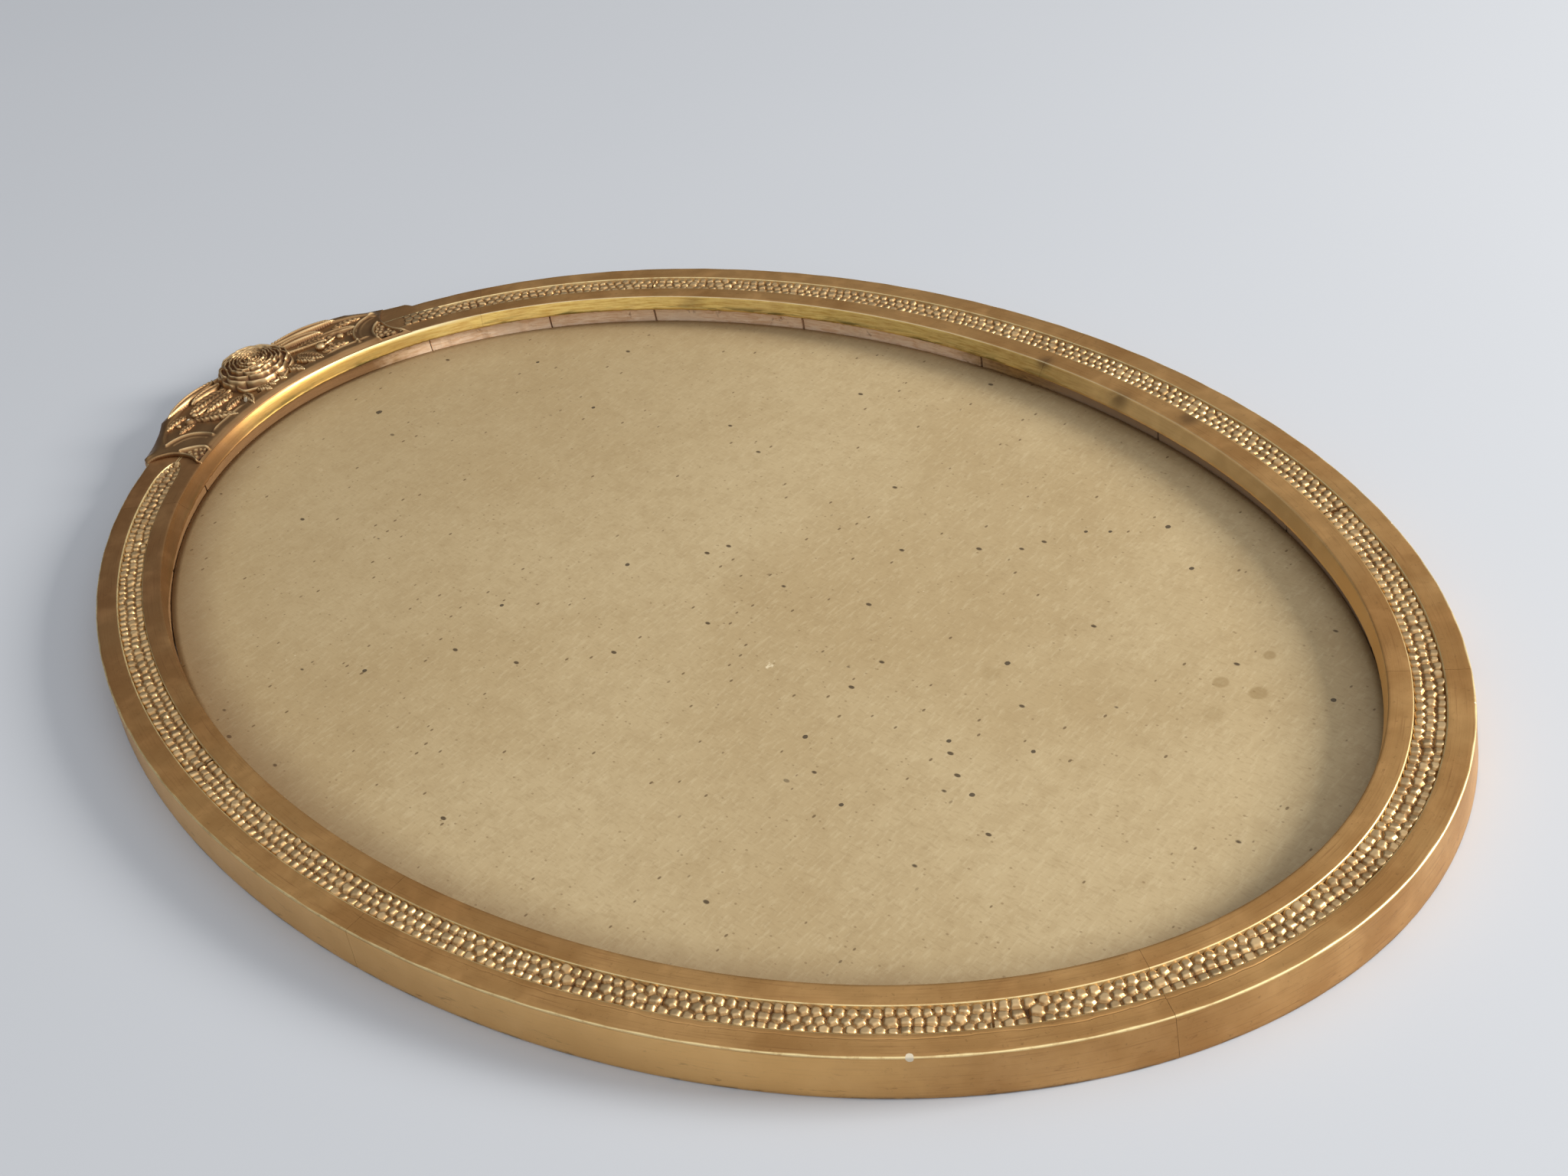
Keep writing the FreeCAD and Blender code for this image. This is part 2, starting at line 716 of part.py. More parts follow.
for place, (outer_share, lip_share, valley_share, petals) in enumerate(PETAL_TIERS):
    outline = new_sketch(rose, f"petal_notch_{place}", "XY_Plane")
    outline.setExpression("AttachmentOffset.Base.z", "sizes.rose_height + sizes.spill")
    turn = 0.5 * place
    reach = size.rose_radius * outer_share
    middle = Vector(reach * cos(turn), reach * sin(turn), 0)
    ring = Part.Circle(middle, Vector(0, 0, 1), size.rose_radius * NOTCH_SHARE)
    outline.addGeometry(ring, False)
    index = outline.addConstraint(
        Sketcher.Constraint("Radius", 0, size.rose_radius * NOTCH_SHARE)
    )
    outline.setExpression(f"Constraints[{index}]", radius_text(NOTCH_SHARE))
    for kind, part in (("DistanceX", cos(turn)), ("DistanceY", sin(turn))):
        if part == 0:
            outline.addConstraint(Sketcher.Constraint("PointOnObject", 0, 3, -1))
            continue
        index = outline.addConstraint(Sketcher.Constraint(kind, -1, 1, 0, 3, reach * part))
        outline.setExpression(f"Constraints[{index}]", radius_text(outer_share * part))
    doc.recompute()
    notch = rose.newObject("PartDesign::Pocket", f"petal_pocket_{place}")
    notch.Profile = outline
    floor_share = 0 if place == 0 else PETAL_TIERS[place - 1][2]
    notch.setExpression("Length", f"sizes.rose_height * {1 - floor_share:g} + sizes.spill")
    doc.recompute()
    pattern = rose.newObject("PartDesign::PolarPattern", f"petal_ring_{place}")
    pattern.Originals = [notch]
    pattern.Axis = (outline, ["N_Axis"])
    pattern.Angle = 360
    pattern.Occurrences = petals
    rose.Tip = pattern
    doc.recompute()
    if pattern.Shape.Volume >= dome_volume:
        raise RuntimeError(f"petal notches of tier {place} cut nothing")
    dome_volume = pattern.Shape.Volume
bind(
    rose,
    Placement__Base__y="sizes.face_half_length - sizes.rose_from_arris",
    Placement__Base__z=FIELD_LEVEL,
)
node(rose, "rose")

# Leaf sprays: each leaf is a pointed oval that rises to a ridge. Places are shares of the
# leaf field's half axes, measured from the centre of the crest's oval.
LEAF_SHARES = [
    # start across and up, end across and up, width as a share of the field's half height
    (0.245, 0.885, 0.68, 0.67, 0.155),
    (0.22, 0.67, 0.56, 0.55, 0.20),
    (0.47, 0.49, 0.75, 0.27, 0.18),
    (0.29, 0.25, 0.49, 0.13, 0.14),
]
STEM_SHARES = [(0.19, 0.525), (0.585, 0.25)]
BERRY_SHARES = (0.575, 0.20)
GROUND_SHARES = [(0.22, 0.86), (0.45, 0.80), (0.66, 0.62), (0.66, 0.22), (0.47, 0.11), (0.26, 0.21)]
RIDGE_WIDTH_SHARE = 0.14
RIDGE_LENGTH_SHARE = 0.84
crest_centre = measure(CREST_CENTRE)
field_half_width = measure(FIELD_HALF_WIDTH)
field_half_height = measure(FIELD_HALF_HEIGHT)
field_level = measure(FIELD_LEVEL)


def crest_place(across_share, up_share, level):
    return Vector(
        field_half_width * across_share,
        crest_centre + field_half_height * up_share,
        level,
    )


def pointed_oval(start, end, half_width, level):
    """Two arcs that meet in points at both ends."""
    low = Vector(start.x, start.y, level)
    high = Vector(end.x, end.y, level)
    middle = (low + high) / 2
    run = (high - low).normalize()
    side = Vector(-run.y, run.x, 0) * half_width
    return Part.Wire([
        Part.Arc(low, middle + side, high).toShape(),
        Part.Arc(high, middle - side, low).toShape(),
    ])


def leaf(shares):
    across, up, end_across, end_up, width_share = shares
    start = crest_place(across, up, field_level)
    end = crest_place(end_across, end_up, field_level)
    half_width = field_half_height * width_share / 2
    middle = (start + end) / 2
    ridge_start = middle + (start - middle) * RIDGE_LENGTH_SHARE
    ridge_end = middle + (end - middle) * RIDGE_LENGTH_SHARE
    foot = pointed_oval(start, end, half_width, field_level)
    ridge = pointed_oval(
        ridge_start, ridge_end, half_width * RIDGE_WIDTH_SHARE, field_level + size.leaf_height
    )
    return Part.makeLoft([foot, ridge], True, True)


def spray_shape():
    corners = [crest_place(*shares, field_level) for shares in GROUND_SHARES]
    outline = Part.Wire(Part.makePolygon(corners + corners[:1]))
    ground = Part.Face(outline).extrude(Vector(0, 0, size.spray_ground))
    start = crest_place(*STEM_SHARES[0], field_level)
    end = crest_place(*STEM_SHARES[1], field_level)
    run = end - start
    stem = Part.makeCylinder(size.stem_radius, run.Length, start, run)
    berry = Part.makeSphere(size.berry_radius, crest_place(*BERRY_SHARES, field_level))
    rose_core = Part.makeCylinder(
        size.rose_radius + size.band_gap,
        2 * size.rose_height,
        Vector(0, size.face_half_length - size.rose_from_arris, field_level - size.rose_height),
    )
    below = Part.makeBox(
        2 * size.crest_half_width,
        2 * size.crest_half_height,
        size.rose_height,
        Vector(0, crest_centre - size.crest_half_height, field_level - size.rose_height),
    )
    shape = ground
    for piece in [leaf(shares) for shares in LEAF_SHARES] + [stem, berry]:
        shape = shape.fuse(piece)
    return shape.cut(rose_core).cut(below)


right_spray = doc.addObject("Part::Feature", "leaf_spray_right_solid")
right_spray.Shape = spray_shape()
node(right_spray, "leaf_spray_right")
left_spray = doc.addObject("Part::Mirroring", "leaf_spray_left_solid")
left_spray.Source = right_spray
left_spray.Normal = Vector(1, 0, 0)
node(left_spray, "leaf_spray_left")

# Hanger: plate with a rolled knuckle, let into the top block.
plate_start = f"{POCKET_START} + sizes.plate_gap"
plate_blank = box(
    "plate_blank",
    "2 * (sizes.pocket_half_width - sizes.plate_gap)",
    "sizes.plate_length",
    "sizes.plate_thickness",
    "sizes.plate_gap - sizes.pocket_half_width",
    plate_start,
    plate_level,
)
knuckle_half = "(sizes.ring_half_width - sizes.ring_corner - sizes.knuckle_end_gap)"


def cross_rod(name, radius, half_length):
    """A rod along X, centred on the hanger's hinge line."""
    rod = doc.addObject("Part::Cylinder", name)
    rod.Placement = Placement(Vector(), Rotation(Vector(0, 1, 0), 90))
    return bind(
        rod,
        Radius=radius,
        Height=f"2 * ({half_length})",
        Placement__Base__x=f"-({half_length})",
        Placement__Base__y=HINGE_PLACE,
        Placement__Base__z=HINGE_LEVEL,
    )


knuckle = cross_rod("knuckle", KNUCKLE_RADIUS, knuckle_half)
knuckle_bore = cross_rod(
    "knuckle_bore", "sizes.ring_wire_radius + sizes.knuckle_gap", "2 * sizes.ring_half_width"
)
plate_holes = screw_rods(
    "plate_hole",
    "sizes.screw_radius + sizes.screw_gap",
    f"{plate_level} - sizes.spill",
    "sizes.plate_thickness + 2 * sizes.spill",
)
plate = cut(
    "hanger_plate_solid",
    fuse("plate_and_knuckle", [plate_blank, knuckle]),
    fuse("plate_cuts", [knuckle_bore] + plate_holes),
)
node(plate, "hanger_plate")

# Hanging ring: a straight bar in the knuckle, two bends, two legs and a round top.
bar = cross_rod("ring_bar", "sizes.ring_wire_radius", "sizes.ring_half_width - sizes.ring_corner")


def ring_bend(name, radius, start, sweep, x, y):
    bend = doc.addObject("Part::Torus", name)
    bend.Angle3 = sweep
    bend.Placement = Placement(Vector(), Rotation(Vector(0, 0, 1), start))
    return bind(
        bend,
        Radius1=radius,
        Radius2="sizes.ring_wire_radius",
        Placement__Base__x=x,
        Placement__Base__y=y,
        Placement__Base__z=HINGE_LEVEL,
    )


corner_place = f"{HINGE_PLACE} + sizes.ring_corner"
ring_parts = [bar]
for side, sign, start in (("right", "", 270), ("left", "-", 180)):
    ring_parts.append(
        ring_bend(
            f"ring_corner_{side}",
            "sizes.ring_corner",
            start,
            90,
            f"{sign}(sizes.ring_half_width - sizes.ring_corner)",
            corner_place,
        )
    )
    leg = doc.addObject("Part::Cylinder", f"ring_leg_{side}")
    leg.Placement = Placement(Vector(), Rotation(Vector(1, 0, 0), -90))
    ring_parts.append(
        bind(
            leg,
            Radius="sizes.ring_wire_radius",
            Height="sizes.ring_leg",
            Placement__Base__x=f"{sign}sizes.ring_half_width",
            Placement__Base__y=corner_place,
            Placement__Base__z=HINGE_LEVEL,
        )
    )
ring_parts.append(
    ring_bend(
        "ring_top", "sizes.ring_half_width", 0, 180, "0", f"{corner_place} + sizes.ring_leg"
    )
)
hanging_ring = fuse("hanging_ring_solid", ring_parts)
hanging_ring.Refine = True
node(hanging_ring, "hanging_ring")

# Two slotted screws hold the plate.
shanks = screw_rods("screw_shank", "sizes.screw_radius", plate_level, "sizes.screw_length")
screw_place = f"{HINGE_PLACE} - sizes.screw_from_axis"
heads = []
slots = []
for side, sign in (("right", ""), ("left", "-")):
    head = doc.addObject("Part::Cone", f"screw_head_{side}")
    bind(
        head,
        Radius1="sizes.screw_head_radius * 0.6",
        Radius2="sizes.screw_head_radius",
        Height="sizes.screw_head_height",
        Placement__Base__x=f"{sign}sizes.screw_spread",
        Placement__Base__y=screw_place,
        Placement__Base__z=f"{plate_level} - sizes.screw_head_height",
    )
    head.Placement.Rotation = Rotation()
    heads.append(head)
    slots.append(
        box(
            f"screw_slot_{side}",
            "4 * sizes.screw_head_radius",
            "sizes.screw_slot",
            "sizes.screw_slot + sizes.spill",
            f"{sign}sizes.screw_spread - 2 * sizes.screw_head_radius",
            f"{screw_place} - sizes.screw_slot / 2",
            f"{plate_level} - sizes.screw_head_height - sizes.spill",
        )
    )
screws = cut(
    "hanger_screws_solid", fuse("screw_bodies", shanks + heads), fuse("screw_slots", slots)
)
node(screws, "hanger_screws")

doc.recompute()
for item in doc.Objects:
    if "Invalid" in item.State or "Error" in item.State:
        raise RuntimeError(f"{item.Name} failed: {item.State}")
for item in nodes:
    if item.Shape.isNull() or not item.Shape.isValid():
        raise RuntimeError(f"{item.Label} has no valid shape")
os.makedirs("parts", exist_ok=True)
for item in nodes:
    item.Shape.exportStep(f"parts/{item.Label}.step")
    print(item.Label, len(item.Shape.Solids), round(item.Shape.Volume, 1))
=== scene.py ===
import math
from functools import reduce

import bpy
import numpy as np
from mathutils import Matrix, Vector


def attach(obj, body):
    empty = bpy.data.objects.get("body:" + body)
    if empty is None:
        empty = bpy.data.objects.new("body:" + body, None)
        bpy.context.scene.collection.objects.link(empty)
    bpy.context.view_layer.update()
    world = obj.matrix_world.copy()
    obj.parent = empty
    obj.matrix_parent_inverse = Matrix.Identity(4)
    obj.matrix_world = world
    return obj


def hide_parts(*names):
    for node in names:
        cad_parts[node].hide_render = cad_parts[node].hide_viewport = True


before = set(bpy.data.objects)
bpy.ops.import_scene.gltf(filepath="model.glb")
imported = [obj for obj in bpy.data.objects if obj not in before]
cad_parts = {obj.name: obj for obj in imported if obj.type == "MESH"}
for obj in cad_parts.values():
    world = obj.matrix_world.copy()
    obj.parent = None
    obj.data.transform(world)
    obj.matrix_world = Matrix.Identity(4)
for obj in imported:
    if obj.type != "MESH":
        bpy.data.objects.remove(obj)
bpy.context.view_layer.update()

# Oval giltwood frame lying face up. Lengths are millimetres here and metres in the meshes and
# the node trees. Clock angles start at the crest and grow towards +X, in degrees. An inset is
# how much smaller than the outer arris an oval's half axes are; a depth is measured inwards
# along the arris's normal.
MM = 0.001
HALF_LENGTH = 246.0
HALF_WIDTH = 170.0
FACE = 14.0
FLARE = 1.0  # the side's foot stands out by this
ARRIS = 0.5
GROOVE_OUT = 7.5
GROOVE_IN = 15.8
GROOVE_DROP = 1.55
BAND_GROUND = 1.35  # the pebbles' ground lies this far below the face
SIGHT = 22.5
LIP = 25.2  # usual inset of the lip, from where the board's darkening by the rim is measured
LIP_TOP = 9.9
REBATE = 21.9
LAYER = 9.3  # level between the gilded layer and the raw blocks
BOARD_TOP = 3.0
BOARD_FOOT = 1.6
CREST_Y = 226.0
CREST_ACROSS = 64.5
CREST_UP = 30.5
COVE = (106.0, 298.0, 79.0)  # centre and radius of the hollow beside the crest
PLAQUE = 15.5

FRONT_JOINTS = [31, 97, 155]
BACK_JOINTS = [23, 39.6, 52.5, 69.5, 89.4, 110, 128, 145, 162]
BAND_JOINTS = [52, 131.2, 217.5, 285.3]
BAND_START = 20.4
BAND_STOP = 338.1
# Degrees left open at either side of a joint.
FACE_HAIRLINE = 0.012
BLOCK_HAIRLINE = 0.10
BAND_HAIRLINE = 0.09
# Length between rows of points along the arris.
FACE_STEP = 1.3
BLOCK_STEP = 1.6
BAND_STEP = 0.29

# Clock angles, and there the inset that the sight edge reaches: it is steeper on the near side.
LIP_CLOCKS = (85, 105, 120, 135, 150, 165, 180, 255, 285, 300, 310, 317, 330)
LIP_INSETS = (25.2, 26.0, 25.7, 25.2, 23.9, 23.3, 23.3, 23.2, 22.9, 22.9, 23.1, 24.4, 25.2)


# Numbers and curves


def smooth(low, high, value):
    """Eased step from 0 at low to 1 at high."""
    share = np.clip((np.asarray(value, float) - low) / (high - low), 0, 1)
    return share * share * (3 - 2 * share)


def ridge(gap, width):
    """1 on a line and eased to 0 away from it."""
    return np.exp(-((gap / width) ** 2))


def dome(share):
    """Height of a half ball, 1 in its middle and 0 from its rim on."""
    return np.sqrt(np.maximum(1 - share**2, 0))


def ripple(position, length, seed, layers=3):
    """Soft noise along a line, between about -1 and 1, with the given wave length."""
    source = np.random.default_rng(seed)
    total = np.zeros_like(np.asarray(position, float))
    for k in range(layers):
        phase, stretch = source.uniform(0, 2 * math.pi), source.uniform(0.8, 1.25)
        total += np.sin(position * 2 * math.pi * stretch * 1.9**k / length + phase) / 1.7**k
    return total / 1.7


def rim_line(clock):
    """Points of the outer arris, and the outward normals there."""
    turn = np.radians(clock)
    point = np.stack([HALF_WIDTH * np.sin(turn), HALF_LENGTH * np.cos(turn)], -1)
    normal = np.stack([np.sin(turn) / HALF_WIDTH, np.cos(turn) / HALF_LENGTH], -1)
    return point, normal / np.linalg.norm(normal, axis=-1, keepdims=True)


def oval_hits(start, direction, axes):
    """How far along a line it meets an oval around the origin, the first and the second time."""
    a = ((direction / axes) ** 2).sum(-1)
    b = 2 * (start * direction / axes**2).sum(-1)
    c = ((start / axes) ** 2).sum(-1) - 1
    root = np.sqrt(np.maximum(b * b - 4 * a * c, 0))
    return (-b - root) / (2 * a), (-b + root) / (2 * a)


def depth_to(clock, inset):
    """Depth of the oval with this inset."""
    point, normal = rim_line(clock)
    axes = np.stack(np.broadcast_arrays(HALF_WIDTH - inset, HALF_LENGTH - inset), -1)
    return oval_hits(point, -normal, axes)[0]


def crest_reach(clock):
    """How far the crest's bulge stands out past the arris, with the coves beside it."""
    point, normal = rim_line(clock)
    axes = np.array([CREST_ACROSS, CREST_UP])
    start = point - np.array([0, CREST_Y])
    to_bulge = oval_hits(start, normal, axes)[1]
    gap = np.abs(point) - COVE[:2]
    outward = normal * np.stack([np.sign(point[..., 0] + 1e-9), np.ones_like(point[..., 0])], -1)
    b = (gap * outward).sum(-1)
    c = (gap**2).sum(-1) - COVE[2] ** 2
    to_cove = np.where(b * b - c > 0, -b - np.sqrt(np.maximum(b * b - c, 0)), 1e3)
    in_bulge = ((start / axes) ** 2).sum(-1) < 1
    return np.where(in_bulge, np.minimum(to_bulge, to_cove), 0.0)


ARC_CLOCKS = np.linspace(-180, 360, 10801)
ARC_STEPS = np.linalg.norm(np.diff(rim_line(ARC_CLOCKS)[0], axis=0), axis=1)
ARC_LENGTHS = np.concatenate([[0], np.cumsum(ARC_STEPS)])


def arc_at(clock):
    """Length along the arris."""
    return np.interp(clock, ARC_CLOCKS, ARC_LENGTHS)


def clocks_between(start, end, step):
    """Clock angles with even steps along the arris."""
    first, last = arc_at(start), arc_at(end)
    count = max(2, int(math.ceil((last - first) / step)))
    return np.interp(np.linspace(first, last, count + 1), ARC_LENGTHS, ARC_CLOCKS)


def signed(clock):
    """Clock angles between -180 and 180."""
    return (np.asarray(clock) + 180) % 360 - 180


def spans(prefix, joints):
    """Name and both clock angles of each piece between the joints, which mirror."""
    yield f"{prefix}_top", -joints[0], joints[0]
    for number, (start, end) in enumerate(zip(joints, joints[1:]), start=1):
        yield f"{prefix}_right_{number}", start, end
        yield f"{prefix}_left_{number}", -end, -start
    yield f"{prefix}_bottom", joints[-1], 360 - joints[-1]


# Meshes


def add_mesh(name, points, quads, extra=(), rim=None, relief=None, smooth_faces=True):
    """A mesh from points in millimetres, four-cornered faces and other faces."""
    mesh = bpy.data.meshes.new(name)
    corners = np.concatenate([np.asarray(face, np.int32).ravel() for face in (quads, *extra)])
    counts = np.array([4] * len(quads) + [len(face) for face in extra], np.int32)
    mesh.vertices.add(len(points))
    mesh.vertices.foreach_set("co", (np.asarray(points) * MM).astype(np.float32).ravel())
    mesh.loops.add(len(corners))
    mesh.loops.foreach_set("vertex_index", corners)
    mesh.polygons.add(len(counts))
    starts = np.concatenate([[0], np.cumsum(counts)[:-1]]).astype(np.int32)
    mesh.polygons.foreach_set("loop_start", starts)
    mesh.update(calc_edges=True)
    mesh.validate()
    mesh.polygons.foreach_set("use_smooth", np.full(len(mesh.polygons), smooth_faces))
    for key, kind, field, values in (
        ("rim", "FLOAT_VECTOR", "vector", rim),
        ("relief", "FLOAT", "value", relief),
    ):
        if values is not None:
            layer = mesh.attributes.new(key, kind, "POINT")
            layer.data.foreach_set(field, np.asarray(values, np.float32).ravel())
    obj = bpy.data.objects.new(name, mesh)
    bpy.context.scene.collection.objects.link(obj)
    return obj


def finish_piece(obj, material, body="frame", stands_for=()):
    """Give a piece its material and body, and hide the nodes that it stands for."""
    obj.data.materials.clear()
    obj.data.materials.append(material)
    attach(obj, body)
    if stands_for:
        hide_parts(*stands_for)
    return obj


def sweep(clock, depth, level, across):
    """A profile carried along the rim: depth and level hold one row per clock angle."""
    rows, columns = depth.shape
    point, normal = rim_line(clock)
    plan = point[:, None, :] - normal[:, None, :] * depth[:, :, None]
    points = np.concatenate([plan, level[:, :, None]], axis=2).reshape(-1, 3)
    index = np.arange(rows * columns).reshape(rows, columns)
    turned = np.roll(index, -1, axis=1)
    quads = np.stack([index[:-1], turned[:-1], turned[1:], index[1:]], -1).reshape(-1, 4)
    rim = [arc_at(clock)[:, None], across, clock[:, None]]
    rim = np.stack([np.broadcast_to(value, depth.shape) for value in rim], -1).reshape(-1, 3)
    # The end faces have their own points, so that the shading along the rim stays even.
    ends = np.concatenate([index[0], index[-1]])
    first_end = rows * columns + np.arange(columns)
    extra = [first_end[::-1], first_end + columns]
    return np.concatenate([points, points[ends]]), quads, extra, np.concatenate([rim, rim[ends]])


def grid_quads(index):
    """Faces between the neighbours in a grid of point numbers."""
    corners = [index[:-1, :-1], index[1:, :-1], index[1:, 1:], index[:-1, 1:]]
    return np.stack(corners, -1).reshape(-1, 4)


def kept_quads(keep):
    """Faces of a grid that lie among the kept points, which are numbered anew."""
    number = np.full(keep.shape, -1)
    number[keep] = np.arange(keep.sum())
    quads = grid_quads(number)
    return quads[(quads >= 0).all(axis=1)]


# Section of the moulding


def groove_share(clock):
    """Depth of the groove near the crest, 1 for the whole depth."""
    turn = signed(clock)
    right = 0.55 * smooth(25.5, 25.9, turn) + 0.45 * smooth(20.4, 24.5, turn)
    left = smooth(22.0, 22.2, -turn)
    return np.where(turn > 0, right, left)


def groove_walls(clock):
    """Insets of the groove's walls; on the left it closes in a pointed arch."""
    turn = signed(clock)
    pinch = np.where(turn < 0, np.clip((25.9 + turn) / 4.0, 0, 1), 0)
    pinch = 1 - np.sqrt(np.maximum(1 - pinch**1.6, 0))
    middle = (GROOVE_OUT + GROOVE_IN) / 2
    half = (GROOVE_IN - GROOVE_OUT) / 2 * (1 - 0.93 * pinch)
    return middle - half, middle + half


def crack_depth(clock):
    """The shrinkage crack beside the groove, on the lower left."""
    turn = np.asarray(clock) % 360
    return smooth(188, 196, turn) * (1 - smooth(262, 272, turn))


def face_profile(clock):
    """Section of the gilded moulding, from the foot over the face to the rebate.

    Its columns are numbered by how far in they lie on a plain section: below 0 on the side,
    up to SIGHT on the face, up to 28.6 on the sight edge and the lip, and beyond on bare wood.
    """
    reach = crest_reach(clock)
    arc = arc_at(clock)
    turn = signed(clock)
    columns = []

    def at_depth(depth, level, across):
        columns.append([np.broadcast_to(value, arc.shape) for value in (depth, level)] + [across])

    def at_inset(inset, level, across=None):
        at_depth(depth_to(clock, inset), level, np.mean(inset) if across is None else across)

    worn = 0.10 * ripple(arc, 31, 1) + 0.06 * ripple(arc, 7, 2)
    foot = 0.20 + 0.12 * np.abs(ripple(arc, 17, 3))
    at_depth(-reach - FLARE + 0.9, 0.0, -14.6)
    at_depth(-reach - FLARE + 0.2 + 0.05 * worn, 0.02 + foot * 0.3, -14.2)
    at_depth(-reach - FLARE - 0.02, foot + 0.25, -13.7)
    # Beside the crest the side stands out a little, so that it covers the raw block.
    shoulder = smooth(14, 17, np.abs(turn)) * (1 - smooth(24, 27, np.abs(turn)))
    for level in (1.6, 3.6, 6.2, 9.0, 11.4, 12.6):
        swell = 0.05 * ripple(arc + 9 * level, 43, 4) - 0.3 * shoulder
        at_depth(-reach - FLARE * (1 - level / FACE) + swell, level, level - FACE)
    edge = ARRIS * (1 + 0.25 * ripple(arc, 23, 5))
    for angle in np.radians((12, 32, 52, 70, 88)):
        depth = -reach + edge - edge * math.cos(angle)
        level = FACE - edge + edge * math.sin(angle)
        at_depth(depth, level + 0.03 * worn, edge.mean() * (1 - math.cos(angle)))
    sag = 0.05 * ripple(arc, 61, 6)
    at_depth(1.9, FACE + 0.02 * worn, 1.9)
    at_inset(3.6, FACE - 0.04 + sag * 0.5)
    line = 5.75 + 0.35 * ripple(arc, 57, 7) + 0.12 * ripple(arc, 9, 8)
    gape = crack_depth(clock) * (0.6 + 0.4 * ripple(arc, 37, 9))
    at_inset(line - 0.34, FACE)
    at_inset(line - 0.14, FACE + 0.02 * gape)
    at_inset(line, FACE - 0.26 * np.maximum(gape, 0))
    at_inset(line + 0.14, FACE - 0.02 * gape)
    at_inset(line + 0.34, FACE)
    share = groove_share(clock)
    wall_out, wall_in = groove_walls(clock)
    drop = GROOVE_DROP * share
    at_inset(wall_out - 0.45, FACE, 7.05)
    at_inset(wall_out - 0.12, FACE - 0.06 * share, 7.38)
    at_inset(wall_out, FACE - 0.3 * share, GROOVE_OUT)
    at_inset(wall_out + 0.08, FACE - drop, 7.6)
    at_inset((wall_out + wall_in) / 2, FACE - drop, 11.65)
    at_inset(wall_in - 0.08, FACE - drop, 15.7)
    at_inset(wall_in, FACE - 0.3 * share, GROOVE_IN)
    at_inset(wall_in + 0.12, FACE - 0.05 * share, 15.92)
    at_inset(wall_in + 0.45, FACE + 0.02 * worn, 16.25)
    at_inset(18.2, FACE - 0.03 + sag * 0.4)
    at_inset(20.4, FACE - 0.02)
    at_inset(21.7, FACE)
    at_inset(22.15, FACE - 0.03, 22.2)
    at_inset(22.40 + 0.02 * worn, FACE - 0.12 + 0.02 * worn, 22.4)
    # The sight edge falls steeply to the lip, and is hollow by the crest.
    hollow = smooth(-56, -34, turn) * (1 - smooth(10, 24, turn))
    run = np.interp(np.mod(clock, 360), LIP_CLOCKS, LIP_INSETS) - SIGHT + 0.7 * hollow
    for fallen in (0.06, 0.16, 0.3, 0.45, 0.6, 0.75, 0.9, 1.0):
        rounded = 1 - math.cos(math.pi / 2 * fallen)
        share_in = fallen + 0.75 * (rounded - fallen) * hollow
        level = FACE - (FACE - LIP_TOP) * fallen
        at_inset(SIGHT + run * share_in + 0.05 * worn * fallen, level, 22.7 + 4.6 * fallen)
    lip = SIGHT + run
    ragged = 1 + 1.8 * smooth(-42, -30, turn) * (1 - smooth(72, 86, turn))
    chip = 0.10 * np.abs(ripple(arc, 11, 10)) + 0.10 * np.maximum(ripple(arc, 5, 12), 0)
    chip = chip * ragged
    at_inset(lip + 0.03 - chip * 0.5, LIP_TOP - 0.25, 27.9)
    at_inset(lip - chip, LAYER + 0.25 - chip * 0.3, 28.3)
    at_inset(lip - 0.2 - chip, LAYER + 0.04, 28.6)
    for inset, across in ((REBATE + 0.4, 31.0), (REBATE - 0.4, 34.0), (12.0, 46), (3.0, 55)):
        at_inset(inset, LAYER + 0.02, across)
    at_depth(-reach - FLARE * (1 - LAYER / FACE) + 0.45, LAYER + 0.02, 58)
    at_depth(-reach - FLARE * (1 - 5 / FACE) + 0.1, 5.0, 60)
    at_depth(-reach - FLARE + 0.1, 0.3, 62)
    depth, level, across = zip(*columns)
    return np.stack(depth, 1), np.stack(level, 1), np.array(across)


# Materials. Colours are sRGB values out of 255.
GOLD = (200, 155, 98)
GOLD_DEEP = (174, 129, 76)
GOLD_YELLOW = (240, 208, 122)
BOLE = (112, 66, 36)
GRIME = (70, 48, 26)
GESSO = (208, 195, 170)
TARNISH = (92, 80, 38)


def shade(red, green, blue):
    """A colour for a socket."""
    values = (red, green, blue)
    linear = [((v / 255 + 0.055) / 1.055) ** 2.4 if v > 10 else v / 3294.6 for v in values]
    return (*linear, 1.0)


def feed(tree, socket, value):
    """Link a field to a socket, or set the socket to a plain value."""
    if isinstance(value, Field):
        tree.links.new(value.socket, socket)
    else:
        socket.default_value = value


